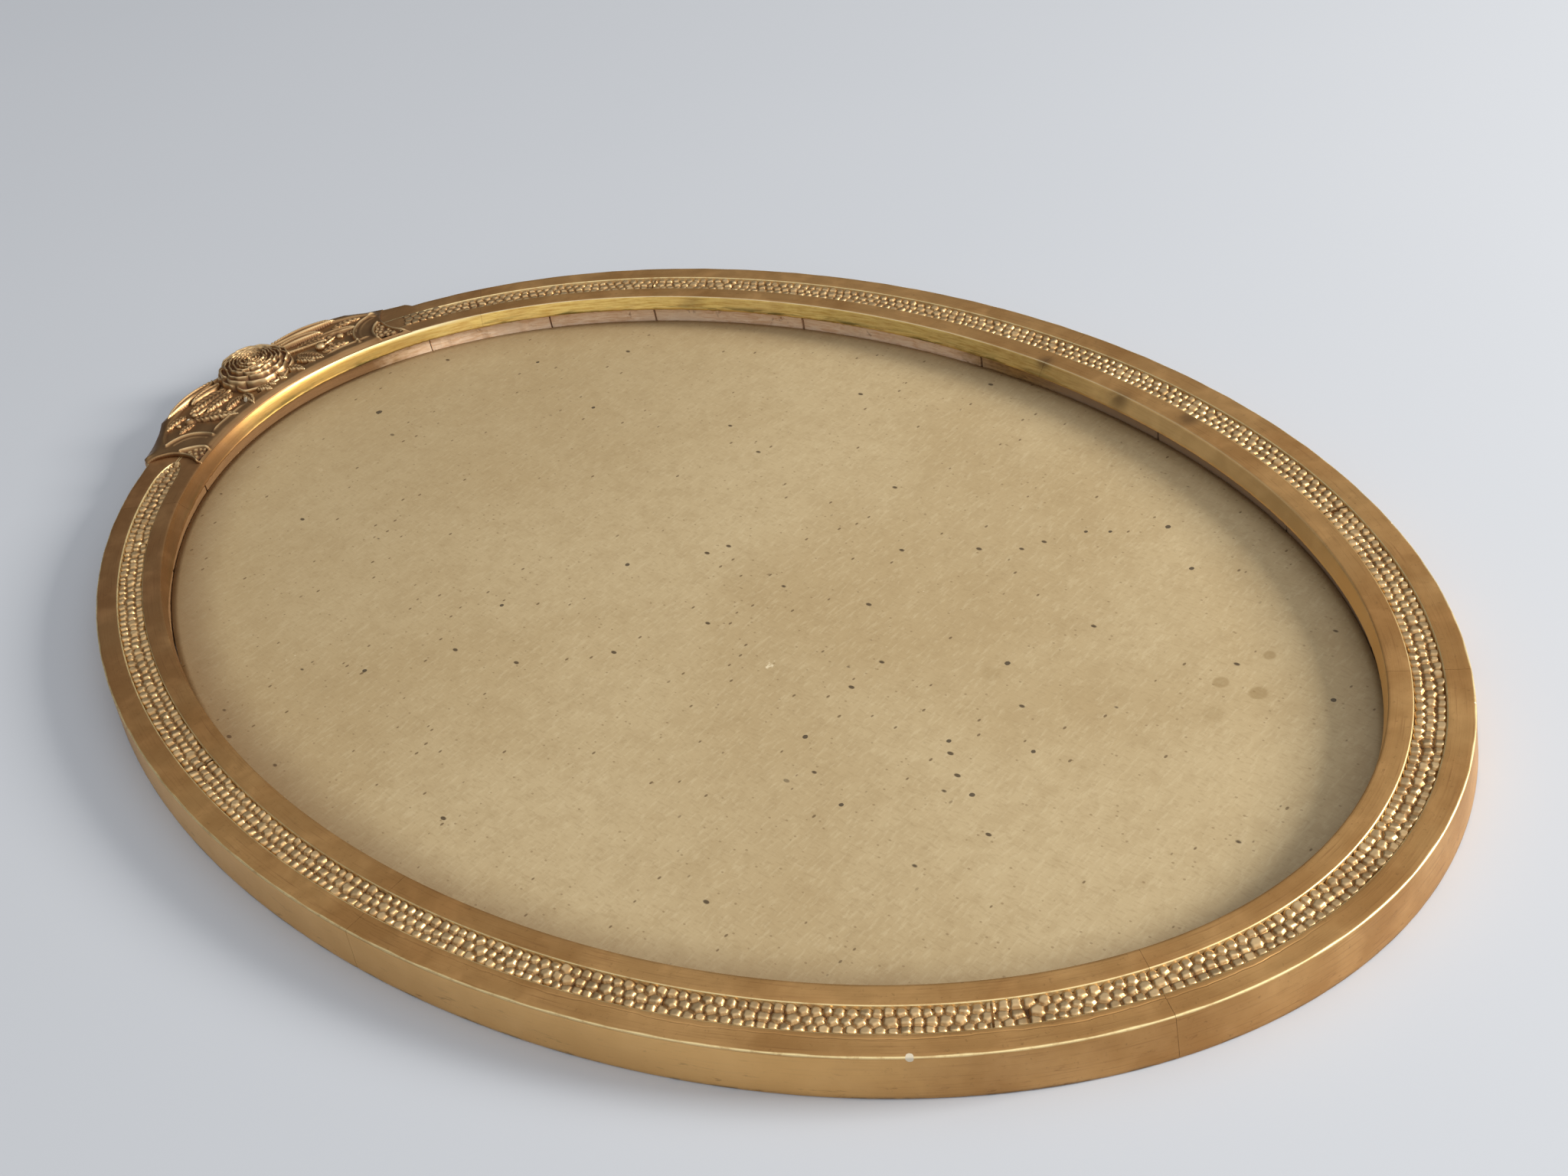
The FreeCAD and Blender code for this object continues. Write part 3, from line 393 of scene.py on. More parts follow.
class Field:
    """An output in a node tree, which fields and numbers can be calculated with."""

    def __init__(self, tree, socket):
        self.tree = tree
        self.socket = socket

    @classmethod
    def of(cls, tree, kind, output=0, inputs=(), **settings):
        """An output of a new node, or all of them where output is None."""
        node = tree.nodes.new(kind)
        for key, value in settings.items():
            setattr(node, key, value)
        for key, value in dict(inputs).items():
            feed(tree, node.inputs[key], value)
        if output is None:
            return [cls(tree, socket) for socket in node.outputs]
        return cls(tree, node.outputs[output])

    def into(self, kind, output, inputs, **settings):
        return Field.of(self.tree, kind, output, inputs, **settings)

    def math(self, operation, *values):
        return self.into("ShaderNodeMath", 0, enumerate(values), operation=operation)

    def __add__(self, other):
        return self.math("ADD", self, other)

    def __sub__(self, other):
        return self.math("SUBTRACT", self, other)

    def __rsub__(self, other):
        return self.math("SUBTRACT", other, self)

    def __mul__(self, other):
        return self.math("MULTIPLY", self, other)

    def __or__(self, other):
        """The larger of two values."""
        return self.math("MAXIMUM", self, other)

    def __abs__(self):
        return self.math("ABSOLUTE", self)

    def ramp(self, low, high, start=0.0, end=1.0, kind="SMOOTHSTEP"):
        """Eased ramp of the value between two limits."""
        limits = {"From Min": low, "From Max": high, "To Min": start, "To Max": end}
        inputs = {"Value": self, **limits}
        return self.into("ShaderNodeMapRange", 0, inputs, interpolation_type=kind)

    def fall(self, low, high, start=1.0, end=0.0):
        return self.ramp(low, high, start, end)

    def near(self, centre, width):
        """1 where the value is at the centre, 0 from the width on."""
        return abs(self - centre).fall(0.0, width)

    def between(self, first, second):
        """From one colour where the value is 0 to another where it is 1."""
        ends = [c if isinstance(c, Field) else shade(*c) for c in (first, second)]
        inputs = {0: self, 6: ends[0], 7: ends[1]}
        return self.into("ShaderNodeMix", 2, inputs, data_type="RGBA")

    def coats(self, *coats):
        """The colour with others laid over it, each by its own share."""
        tone = self
        for share, colour in coats:
            tone = share.between(tone, colour)
        return tone

    def split(self):
        return self.into("ShaderNodeSeparateXYZ", None, {0: self})

    def scaled(self, *scale):
        return self.into("ShaderNodeVectorMath", 0, {0: self, 1: scale}, operation="MULTIPLY")

    def noise(self, scale, detail=4.0, roughness=0.55, distortion=0.0):
        inputs = {"Vector": self, "Scale": scale, "Detail": detail}
        inputs.update(Roughness=roughness, Distortion=distortion)
        return self.into("ShaderNodeTexNoise", "Fac", inputs)

    def cells(self, scale):
        """Distance from the middle of a cell, and the cell's own random colour."""
        distance, colour, *_ = self.into(
            "ShaderNodeTexVoronoi", None, {"Vector": self, "Scale": scale}, feature="F1"
        )
        return distance, colour

    def spots(self, places, soft=0.5):
        """1 inside small balls, each given by its place and radius in millimetres."""
        found = []
        for *centre, radius in places:
            inputs = {0: self, 1: [c * MM for c in centre]}
            gap = self.into("ShaderNodeVectorMath", "Value", inputs, operation="DISTANCE")
            found.append(gap.fall(radius * MM * (1 - soft), radius * MM))
        return reduce(Field.__or__, found)

    def bump(self, strength, distance):
        inputs = {"Strength": strength, "Distance": distance, "Height": self}
        return self.into("ShaderNodeBump", "Normal", inputs)


class Paint:
    """A material with a principled shader. Its place is measured in metres on the object."""

    def __init__(self, name):
        self.material = bpy.data.materials.new(name)
        self.material.use_nodes = True
        self.tree = self.material.node_tree
        self.place = Field.of(self.tree, "ShaderNodeTexCoord", "Object")

    def attribute(self, name, output):
        return Field.of(self.tree, "ShaderNodeAttribute", output, attribute_name=name)

    def set(self, **values):
        shader = self.tree.nodes["Principled BSDF"]
        for key, value in values.items():
            feed(self.tree, shader.inputs[key.replace("_", " ")], value)
        return self.material


def chips(place, places):
    """Ragged chips down to the gesso."""
    return (place.spots(places) + place.noise(1500.0, 2.0) * 0.5).ramp(0.85, 0.98)


SMUDGES = (
    (139.0, -63.0, FACE, 7.5),
    (147.0, -28.0, FACE, 5.5),
    (139.5, -91.0, FACE, 6.5),
    (118.0, 120.0, FACE, 9.0),
)
MOULDING_CHIPS = (
    (-115.9, -179.3, 13.6, 1.5),
    (146.4, -2.6, 14.0, 0.9),
    (135.8, -148.6, 13.6, 0.9),
    (122.0, -41.7, 14.2, 0.8),
    (-97.5, -200.5, 13.4, 0.6),
    (120.0, -173.8, 13.6, 0.7),
    (60.0, -229.8, 13.7, 0.6),
    (88.0, -209.0, 2.0, 0.9),
)
RELIEF_CHIPS = (
    (-18.6, 228.5, 16.0, 1.7),
    (-39.4, 236.4, 17.0, 1.1),
    (139.9, -79.5, 13.6, 1.2),
)


def gilt_moulding():
    """Worn bronze gilding on the swept moulding, with rubbed and painted-highlit arrises, a
    tarnished lip, and painted highlights and shade.
    """
    paint = Paint("gilt_moulding")
    place, rim = paint.place, paint.attribute("rim", "Vector")
    _, across, clock = rim.split()
    brushed = rim.scaled(0.05, 1.9, 0.0).noise(1.0, 6.0, 0.6)
    streak = rim.scaled(0.10, 1.6, 0.0).noise(1.0, 6.0, 0.7)
    patch = rim.scaled(0.045, 0.5, 0.0).noise(1.0, 5.0, 0.65)
    breaks = rim.scaled(0.16, 0.3, 0.0).noise(1.0, 5.0, 0.7)
    scuff = rim.scaled(0.11, 0.55, 0.0).noise(1.0, 6.0, 0.68, 0.6)
    cloud = place.noise(28.0, 5.0, 0.55)
    fine = place.noise(900.0, 3.0, 0.6)
    blotch = place.noise(95.0, 4.0, 0.6, 0.4)

    flat = across.ramp(-0.2, 0.0) * across.fall(22.4, 22.9)
    # Painted shade on the flats by the crest.
    crest_shade = clock.ramp(-80, -45, 0.0, 0.55) * clock.fall(16, 40)
    # Masks for the painted highlights and painted shade on the sight edge.
    sight_edge = across.ramp(22.3, 23.0) * across.fall(28.5, 29.0)
    lit = clock.ramp(-18, 2) * clock.fall(64, 150)
    lit = lit * place.noise(60.0, 4.0, 0.65).ramp(0.28, 0.6, 0.55, 0.85)
    yellow = streak.ramp(0.40, 0.66).between(GOLD_YELLOW, (202, 160, 78))
    turned = clock.ramp(94, 112) * clock.fall(160, 176, 0.75)
    crest_edge_shade = clock.ramp(-14, -2) * clock.fall(18, 30) * across.ramp(23.6, 24.8, 0.0, 0.75)
    crest_edge_glint = clock.ramp(-4, 5) * clock.fall(18, 34, 0.95) * across.near(23.1, 1.0)
    crest_edge_glint = crest_edge_glint * streak.ramp(0.30, 0.52, 0.45, 1.0)
    foot_of_edge = across.ramp(25.0, 27.4) * across.fall(29.0, 29.4)
    stain = foot_of_edge * patch.ramp(0.46, 0.62) * lit.ramp(0.1, 0.5, 0.25, 0.9)
    stain = stain * clock.fall(88, 104, 1.0, 0.2)
    smudge = place.spots(SMUDGES, 0.9) * blotch.ramp(0.34, 0.58, 0.2, 0.75)
    # Rubbed wear on the arrises, with a painted highlight along them.
    rubbed_and_highlit = across.near(0.22, 0.42) | across.near(15.9, 0.30) | across.near(7.35, 0.34)
    rubbed_and_highlit = rubbed_and_highlit * breaks.ramp(0.30, 0.55, 0.35, 1.0)
    # Painted shade and grime in the groove's corners.
    corner_shade_and_grime = across.near(7.66, 0.22) | across.near(15.62, 0.26)
    side = across.fall(-0.6, -0.1)
    # Painted shade on the side's right and painted light on its left.
    right = clock.ramp(55, 80) * clock.fall(125, 145, 0.42)
    left = clock.ramp(-145, -125) * clock.fall(-75, -55, 0.6)
    scuffed = across.fall(-14.0, -1.0, 1.0, 0.15) * across.fall(-0.2, 0.0)
    scuffed = scuffed * scuff.ramp(0.58, 0.70)
    foot = across.fall(-13.9, -13.0) * blotch.ramp(0.45, 0.6)
    chipped = chips(place, MOULDING_CHIPS)
    wood = across.ramp(29.2, 29.6)

    tone = cloud.ramp(0.36, 0.66).between(GOLD, GOLD_DEEP).coats(
        (brushed.ramp(0.52, 0.74) * 0.35, BOLE),
        (fine.ramp(0.60, 0.78) * 0.30, GRIME),
        # Painted shade: the flats are darker and browner by the crest.
        (flat * crest_shade, (112, 76, 52)),
        # Painted light on the sight edge: a yellow painted highlight where lit, brown painted shade
        # where it turns away, a pale painted highlight on the right, and painted shade with a
        # painted glint by the crest.
        (sight_edge * lit, yellow),
        (sight_edge * clock.fall(-24, 0, 0.85), (120, 82, 46)),
        (turned * sight_edge, (252, 208, 140)),
        (crest_edge_shade * sight_edge, (150, 112, 52)),
        (crest_edge_glint, (255, 246, 196)),
        (stain, TARNISH),
        (smudge, (104, 76, 46)),
        # Rubbed arrises, worn and with a painted highlight along them: near-white gold with short
        # dark breaks, and grime with painted shade in the groove's corners beside them.
        (rubbed_and_highlit * 0.95, (255, 232, 172)),
        # A painted highlight along the sight arris where it is lit.
        (across.near(22.55, 0.45) * lit, (255, 240, 196)),
        (corner_shade_and_grime * 0.45, GRIME),
        # Painted light on the side: painted shade to the right and painted light to the left, with
        # scuffs towards the foot.
        (right * side, (112, 86, 62)),
        (left * side, (246, 200, 130)),
        (scuffed * 0.55, BOLE),
        (foot * 0.6, GRIME),
        (chipped, GESSO),
        (wood, (186, 146, 100)),
    )
    metal = (0.88 - blotch.ramp(0.4, 0.75) * 0.20) * (1.0 - (chipped | wood))
    rough = (cloud * 0.22 + 0.36 - rubbed_and_highlit * 0.10) | wood * 0.8
    normal = (brushed * 0.7 + fine * 0.35).bump(0.35, 0.00015)
    return paint.set(Base_Color=tone, Metallic=metal, Roughness=rough, Normal=normal)


def gilt_relief():
    """Gilding on moulded composition: painted highlights on the high parts, painted shade on the
    lower ground, dark in the hollows.
    """
    paint = Paint("gilt_relief")
    place, relief = paint.place, paint.attribute("relief", "Fac")
    cloud = place.noise(60.0, 4.0, 0.6)
    fine = place.noise(1100.0, 3.0, 0.6)
    hollow = relief.fall(0.08, 0.46)
    # Painted shade over the crest's ornament, less on its high parts.
    crest_shade = place.split()[1].ramp(0.190, 0.206, 0.0, 0.5) * relief.fall(0.66, 0.94, 1.0, 0.12)
    chipped = chips(place, RELIEF_CHIPS)
    tone = cloud.ramp(0.38, 0.66).between((192, 154, 104), (166, 128, 82)).coats(
        # Painted highlights on the high parts and painted shade on the lower ground.
        (relief.ramp(0.72, 0.98) * 0.34, (242, 220, 174)),
        (relief.fall(0.34, 0.66) * 0.75, (128, 90, 54)),
        (hollow * 0.85, (84, 54, 28)),
        (fine.ramp(0.62, 0.8) * 0.35, BOLE),
        (crest_shade, (108, 74, 50)),
        (chipped, GESSO),
    )
    metal = (0.88 - hollow * 0.35) * (1.0 - chipped)
    rough = cloud * 0.16 + 0.30 + hollow * 0.25
    normal = fine.bump(0.25, 0.0001)
    return paint.set(Base_Color=tone, Metallic=metal, Roughness=rough, Normal=normal)


def bare_wood():
    """Softwood with glue stains, raw and pale by the far side and toned brown elsewhere, with
    painted shade on the near right.
    """
    paint = Paint("bare_wood")
    place = paint.place
    across, along, above = place.split()
    grain = place.scaled(1.0, 1.0, 7.0).noise(160.0, 5.0, 0.62, 0.8)
    coarse = place.noise(42.0, 4.0, 0.6)
    fine = place.noise(1300.0, 2.0)
    stain = place.noise(120.0, 4.0, 0.7, 0.5)
    pale = grain.ramp(0.34, 0.68).between((250, 222, 190), (226, 184, 142)).coats(
        (coarse.ramp(0.5, 0.68) * 0.6, (238, 214, 184)),
        (stain.ramp(0.60, 0.72) * 0.65, (128, 82, 48)),
    )
    brown = grain.ramp(0.36, 0.7).between((176, 136, 80), (132, 98, 54)).coats(
        # Painted shade on the near right, where the wall turns away from the light; darker under
        # the crest.
        (across.ramp(0.0, 0.05) * along.fall(-0.045, -0.015), (172, 142, 110)),
        (across.fall(0.030, 0.050, 0.85) * along.ramp(0.10, 0.16), (122, 86, 50)),
    )
    wander = (coarse - 0.5) * 0.06
    raw = (across + wander).ramp(0.035, 0.060) * (along + wander).ramp(-0.012, 0.018)
    # The back is raw all round.
    raw = raw | (1.0 - above.ramp(0.0001, 0.0003))
    normal = (grain + fine * 0.4).bump(0.5, 0.0003)
    return paint.set(Base_Color=raw.between(brown, pale), Roughness=0.82, Normal=normal)


# Dark specks on the board, given by x, y and radius.
BOARD_MARKS = (
    (98.4, -109.4, 0.9),
    (84.0, -127.2, 0.8),
    (87.5, -95.1, 0.6),
    (83.7, -88.4, 0.6),
    (-5.5, 32.1, 0.8),
    (-43.0, 53.4, 0.7),
    (57.4, 114.8, 0.7),
    (13.4, 190.1, 1.3),
    (70.0, 160.2, 0.7),
    (-89.8, 67.7, 0.8),
    (19.2, -105.6, 0.9),
    (-16.9, -111.9, 0.7),
    (-37.6, -75.5, 0.8),
    (-53.3, -102.7, 0.7),
    (-30.7, -130.8, 0.8),
    (-7.7, -134.6, 0.7),
    (53.0, -192.6, 0.8),
)
ROUND_STAINS = ((43.6, -162.6, 2.8), (45.0, -173.8, 3.2), (60.7, -168.0, 2.2))
FAINT_STAINS = ((13.1, -104.4, 4.0), (31.3, -168.0, 4.0))
LONG_LINT = ((-18.5, -44.5, 4.2),)
LINT = (
    (79.5, -8.5, 3.4),
    (5.0, -70.0, 5.0),
    (22.0, -68.0, 4.5),
    (-99.0, 95.0, 6.5),
    (34.0, -63.0, 3.6),
)


def strawboard():
    """Grey-gold strawboard: felt marks, fibres, specks, scuffs, round stains and lint."""
    paint = Paint("strawboard")
    place = paint.place
    across, along, _ = place.split()

    def on_board(marks, soft, grown=1.0):
        return place.spots([(x, y, BOARD_TOP, radius * grown) for x, y, radius in marks], soft)

    felt_one = place.scaled(1.0, 0.25, 1.0).noise(1400.0, 3.0, 0.6)
    felt_two = place.scaled(0.3, 1.0, 1.0).noise(900.0, 3.0, 0.6)
    cloud = place.noise(7.0, 5.0, 0.6)
    mottle = place.noise(160.0, 5.0, 0.65)
    tone = cloud.ramp(0.38, 0.66).between((182, 161, 122), (171, 148, 108)).coats(
        (mottle.ramp(0.42, 0.66) * 0.30, (158, 134, 95)),
        (felt_one.ramp(0.5, 0.7) * 0.30, (146, 122, 84)),
        (felt_two.ramp(0.5, 0.7) * 0.30, (200, 182, 144)),
        # Painted shade: darker and browner towards the crest.
        (along.ramp(-0.02, 0.20, 0.0, 0.32), (142, 118, 80)),
    )
    # Sparse short fibres and small specks.
    for scale, stretch, limit, share, colour in (
        (150.0, (1.0, 0.6, 0.0), 0.070, 0.90, (66, 50, 28)),
        (330.0, (0.6, 1.0, 0.0), 0.100, 0.75, (88, 66, 36)),
        (620.0, (1.0, 0.7, 0.0), 0.14, 0.5, (116, 92, 56)),
    ):
        distance, tint = place.scaled(*stretch).cells(scale)
        speck = distance.fall(limit, limit * 1.7) * tint.split()[0].ramp(0.84, 0.86)
        tone = tone.coats((speck * share, colour))
    drift = paint.attribute("rim", "Vector").split()[1] + place.noise(30.0, 4.0) * 8.0
    scuff = place.scaled(1.0, 0.6, 1.0).noise(30.0, 6.0, 0.74, 1.4)
    stained = on_board(ROUND_STAINS, 0.35) | on_board(FAINT_STAINS, 0.5) * 0.45
    curled = place.scaled(1.0, 0.8, 1.0).noise(420.0, 5.0, 0.75, 1.2)
    lint = (on_board(LONG_LINT, 0.6) | on_board(LINT, 0.8)) * 0.62 + curled
    marks = on_board(BOARD_MARKS, 0.7, 1.5) + place.noise(1100.0, 3.0, 0.7) * 0.9
    tone = tone.coats(
        # Darker by the rim, most of it on the left.
        (drift.fall(4.5, 22.0) * across.fall(-0.12, 0.05, 0.50, 0.18), (104, 76, 46)),
        (scuff.ramp(0.66, 0.76) * 0.4, (206, 186, 148)),
        (stained * 0.50, (134, 108, 64)),
        (lint.ramp(1.15, 1.28, 0.0, 0.8), (228, 212, 176)),
        (marks.ramp(0.80, 1.0) * 0.85, (46, 34, 20)),
    )
    normal = (felt_one + felt_two).bump(0.3, 0.00012)
    return paint.set(Base_Color=tone, Roughness=0.55, Normal=normal, Metallic=0.0)


def plain_metal(name, colour, dark, roughness):
    paint = Paint(name)
    cloud = paint.place.noise(400.0, 4.0, 0.65)
    tone = cloud.ramp(0.42, 0.66).between(colour, dark)
    rough = cloud * 0.2 + roughness
    normal = cloud.bump(0.15, 0.0001)
    return paint.set(Base_Color=tone, Metallic=0.9, Roughness=rough, Normal=normal)


moulding_paint = gilt_moulding()
relief_paint = gilt_relief()
wood_paint = bare_wood()
board_paint = strawboard()
iron_paint = plain_metal("dark_iron", (104, 92, 84), (70, 48, 34), 0.45)
brass_paint = plain_metal("dull_brass", (196, 160, 92), (120, 88, 48), 0.32)

# Gilded face segments, with more rows where the groove ends by the crest.
groove_ends = np.concatenate([(20.4, 20.7, 20.9, 21.4, 25.45, 25.9), np.linspace(20.5, 24.0, 36)])
for name, start, end in spans("face_segment", FRONT_JOINTS):
    clock = clocks_between(start + FACE_HAIRLINE, end - FACE_HAIRLINE, FACE_STEP)
    if name.endswith("top"):
        clock = np.unique(np.concatenate([clock, groove_ends, -groove_ends]))
    points, quads, extra, rim = sweep(clock, *face_profile(clock))
    segment = add_mesh(name + "_gilt", points, quads, extra, rim)
    finish_piece(segment, moulding_paint, stands_for=[name])

# Raw blocks behind the face: short sawn pieces with slightly eased ends. The rows give inset,
# share of the wall's waviness, shift and level; those without an inset follow the side.
BLOCK_ROWS = (
    (None, 0.0, 0.35, 0.0),
    (None, 0.0, 0.25, LAYER),
    (REBATE, 0.0, -0.02, LAYER),
    (REBATE, 0.0, 0.04, LAYER - 0.25),
    (REBATE, 1.0, 0.0, 7.0),
    (REBATE, 1.0, 0.0, 5.0),
    (REBATE, 0.6, 0.0, 3.2),
    (REBATE, 0.0, 0.0, 1.0),
    (REBATE, 0.0, -0.3, 0.0),
)
BLOCK_EASED = 0.12
for name, start, end in spans("back_block", BACK_JOINTS):
    if name.endswith("top"):
        continue
    start, end = start + BLOCK_HAIRLINE, end - BLOCK_HAIRLINE
    clock = clocks_between(start, end, BLOCK_STEP)
    clock = np.unique(np.concatenate([clock, [start + BLOCK_EASED, end - BLOCK_EASED]]))
    arc = arc_at(clock)
    ease = 0.45 * (1 - smooth(0, 0.7, np.minimum(arc - arc[0], arc[-1] - arc)))
    seed = int(abs(start - BLOCK_HAIRLINE) * 10)
    wander = 0.16 * ripple(arc, 19, seed) + 0.10 * ripple(arc, 5, 3)
    depth = []
    for inset, waved, shift, level in BLOCK_ROWS:
        if inset is None:
            depth.append(np.full_like(clock, -FLARE * (1 - level / FACE) + shift))
        else:
            depth.append(depth_to(clock, inset) + shift + waved * wander - ease)
    depth = np.stack(depth, 1)
    level = np.broadcast_to([row[-1] for row in BLOCK_ROWS], depth.shape)
    points, quads, extra, rim = sweep(clock, depth, level, np.arange(len(BLOCK_ROWS)))
    block = add_mesh(name + "_wood", points, quads, extra, rim, smooth_faces=False)
    finish_piece(block, wood_paint, stands_for=[name])


# Pebble band
PACKING_PASSES = 24
PACKING_REACH = 6  # how many later pebbles each pebble is pushed away from
PEBBLE_SEARCH = 4.2  # mm before a point where its candidates start
PEBBLE_CANDIDATES = 20


def scatter_pebbles(length, width, sizes, seed):
    """Round pebbles packed in uneven rows along a strip, sorted by their place along it."""
    source = np.random.default_rng(seed)
    found = []
    for share, mean, spread in sizes:
        along = source.uniform(0, 1)
        while along < length:
            radius = source.normal(mean, spread)
            radius = float(np.clip(radius, mean * 0.68, mean * 1.38))
            along += radius * 1.04
            found.append([along, width * share + source.normal(0, 0.20), radius])
            along += radius * 1.04
    pebbles = np.array(found)
    pebbles = pebbles[np.argsort(pebbles[:, 0])]
    for _ in range(PACKING_PASSES):
        for reach in range(1, PACKING_REACH + 1):
            first, second = pebbles[:-reach], pebbles[reach:]
            gap = second[:, :2] - first[:, :2]
            distance = np.linalg.norm(gap, axis=1) + 1e-6
            overlap = np.maximum(0.96 * (first[:, 2] + second[:, 2]) - distance, 0)
            push = gap / distance[:, None] * (overlap * 0.25)[:, None]
            pebbles[:-reach, :2] -= push
            pebbles[reach:, :2] += push
        low = pebbles[:, 2] * 0.80
        pebbles[:, 1] = np.clip(pebbles[:, 1], low, width - low)
    return pebbles[np.argsort(pebbles[:, 0])]


def pebble_height(along, across, pebbles, source):
    """Height of the pebbled ground: flat-topped cobbles that meet in narrow valleys."""
    flat_along, flat_across = along.ravel(), across.ravel()
    starts = np.searchsorted(pebbles[:, 0], flat_along - PEBBLE_SEARCH)
    tilt = source.normal(0, 0.11, (len(pebbles), 2))
    tall = source.uniform(0.86, 1.0, len(pebbles))
    index = np.minimum(starts[:, None] + np.arange(PEBBLE_CANDIDATES), len(pebbles) - 1)
    one = pebbles[index]
    gap_along = flat_along[:, None] - one[..., 0]
    gap_across = flat_across[:, None] - one[..., 1]
    power = gap_along**2 + gap_across**2 - one[..., 2] ** 2
    # A repeated last pebble must not count as its own neighbour.
    repeated = np.concatenate([index[:, :1] < 0, index[:, 1:] == index[:, :-1]], 1)
    power = np.where(repeated, 1e6, power)
    rows = np.arange(len(index))
    nearest, second = np.argsort(power, axis=1)[:, :2].T
    own, other = one[rows, nearest], one[rows, second]
    apart = np.hypot(own[:, 0] - other[:, 0], own[:, 1] - other[:, 1])
    to_valley = (power[rows, second] - power[rows, nearest]) / (2 * np.maximum(apart, 0.3))
    radius = own[:, 2]
    gap_along, gap_across = gap_along[rows, nearest], gap_across[rows, nearest]
    round_edge = radius * 1.16 - np.hypot(gap_along, gap_across)
    edge = np.clip(np.minimum(to_valley, round_edge) / (0.62 * radius), 0, 1)
    rise = (1 - (1 - edge) ** 2.4) ** 0.75
    chosen = index[rows, nearest]
    lean = tilt[chosen, 0] * gap_along + tilt[chosen, 1] * gap_across
    value = rise * (tall[chosen] + lean * 0.75) * (0.90 + 0.07 * radius)
    return np.clip(value, 0, 1.15).reshape(along.shape)


# Rows of pebbles: share of the groove's width, mean radius and its spread.
PEBBLE_ROWS = ((0.185, 1.46, 0.12), (0.50, 1.62, 0.16), (0.815, 1.46, 0.12))
PEBBLE_TALL = 1.2
# The band's own length is shorter than the arris by the share of their half axes.
SHORTER = 0.94
GROOVE = GROOVE_IN - GROOVE_OUT
band_from, band_to = arc_at(np.array([BAND_START, BAND_STOP]))
band_pebbles = scatter_pebbles((band_to - band_from) * SHORTER, GROOVE, PEBBLE_ROWS, 5)
strip_ends = [BAND_START] + BAND_JOINTS + [BAND_STOP]
share_across = np.linspace(0, 1, 31)
strip_across = np.concatenate([[GROOVE_OUT], GROOVE_OUT + GROOVE * share_across, [GROOVE_IN]])
for number, (start, end) in enumerate(zip(strip_ends, strip_ends[1:]), start=1):
    gap = BAND_HAIRLINE if number > 1 else 0.0
    clock = clocks_between(start + gap, end - BAND_HAIRLINE, BAND_STEP)
    wall_out, wall_in = groove_walls(clock)
    inset = (wall_out + 0.06)[:, None] + (wall_in - wall_out - 0.12)[:, None] * share_across
    along = (arc_at(clock) - band_from)[:, None] * SHORTER + 0 * inset
    height = pebble_height(along, inset - GROOVE_OUT, band_pebbles, np.random.default_rng(9))
    groove = groove_share(clock)[:, None]
    taper = smooth(19.8, 23.0, np.abs(signed(clock)))[:, None]
    tall = PEBBLE_TALL * (0.55 + 0.45 * taper)
    level = FACE - BAND_GROUND * groove + (height * tall - 0.1)
    level = np.where(groove < 0.95, np.minimum(level, FACE + 0.4), level)
    depth = np.stack([depth_to(clock, line) for line in inset.T], 1)
    skirt = np.minimum(FACE - 1.58, level.min(axis=1, keepdims=True) - 0.05)
    depth = np.concatenate([depth[:, :1], depth, depth[:, -1:]], 1)
    level = np.concatenate([skirt, level, skirt], 1)
    relief = np.pad(0.15 + 0.80 * height**0.5, ((0, 0), (1, 1)))
    points, quads, extra, rim = sweep(clock, depth, level, strip_across)
    relief = np.concatenate([relief.ravel(), relief[0], relief[-1]])
    strip = add_mesh(f"pebble_strip_{number}_relief", points, quads, extra, rim, relief)
    finish_piece(strip, relief_paint, stands_for=[f"pebble_strip_{number}"])


# Crest plaque

# Discs of the crest's ends, right and left: the two ends weren't cut quite alike.
SCALLOP = ((66.0, 220.5, 18.7), (68.2, 214.2, 14.6))
SCROLL = ((46.9, 221.3, 13.8), (51.5, 218.3, 11.6))
PANEL = ((50.1, 217.0, 11.1), (57.3, 210.0, 11.9))
ROSE = (-2.2, 243.9)


def disc_place(x, disc):
    """Centre and radius of a disc, chosen by the side of the crest."""
    right, left = disc
    return [np.where(x > 0, a, b) for a, b in zip(right, left)]


def disc_gap(x, y, disc):
    """Distance from a disc's rim, positive outside."""
    across, up, radius = disc_place(x, disc)
    return np.hypot(np.abs(x) - across, y - up) - radius


def arc_ridge(x, y, disc, start, end, width):
    """Rounded ridge along part of a disc's rim, with angles from +X on the right side."""
    across, up, _ = disc_place(x, disc)
    angle = np.degrees(np.arctan2(y - up, np.abs(x) - across)) % 360
    inside = smooth(start - 4, start, angle) * (1 - smooth(end, end + 6, angle))
    return ridge(disc_gap(x, y, disc), width) * inside


def oval_gap(x, y, inset):
    """About the distance from the oval with this inset; positive outside."""
    across, along = HALF_WIDTH - inset, HALF_LENGTH - inset
    scale = np.hypot(x / across, y / along)
    steep = np.hypot(x / across**2, y / along**2)
    return (scale - 1) * scale / np.maximum(steep, 1e-6)


def outline_gap(x, y):
    """Distance to the crest's outline, positive inside."""
    up = y - CREST_Y
    scale = np.hypot(x / CREST_ACROSS, up / CREST_UP)
    steep = np.hypot(x / CREST_ACROSS**2, up / CREST_UP**2)
    to_oval = (1 - scale) * scale / np.maximum(steep, 1e-6)
    to_cove = np.hypot(np.abs(x) - COVE[0], y - COVE[1]) - COVE[2]
    return np.minimum(np.where(up > 0, to_oval, 1e3), to_cove)


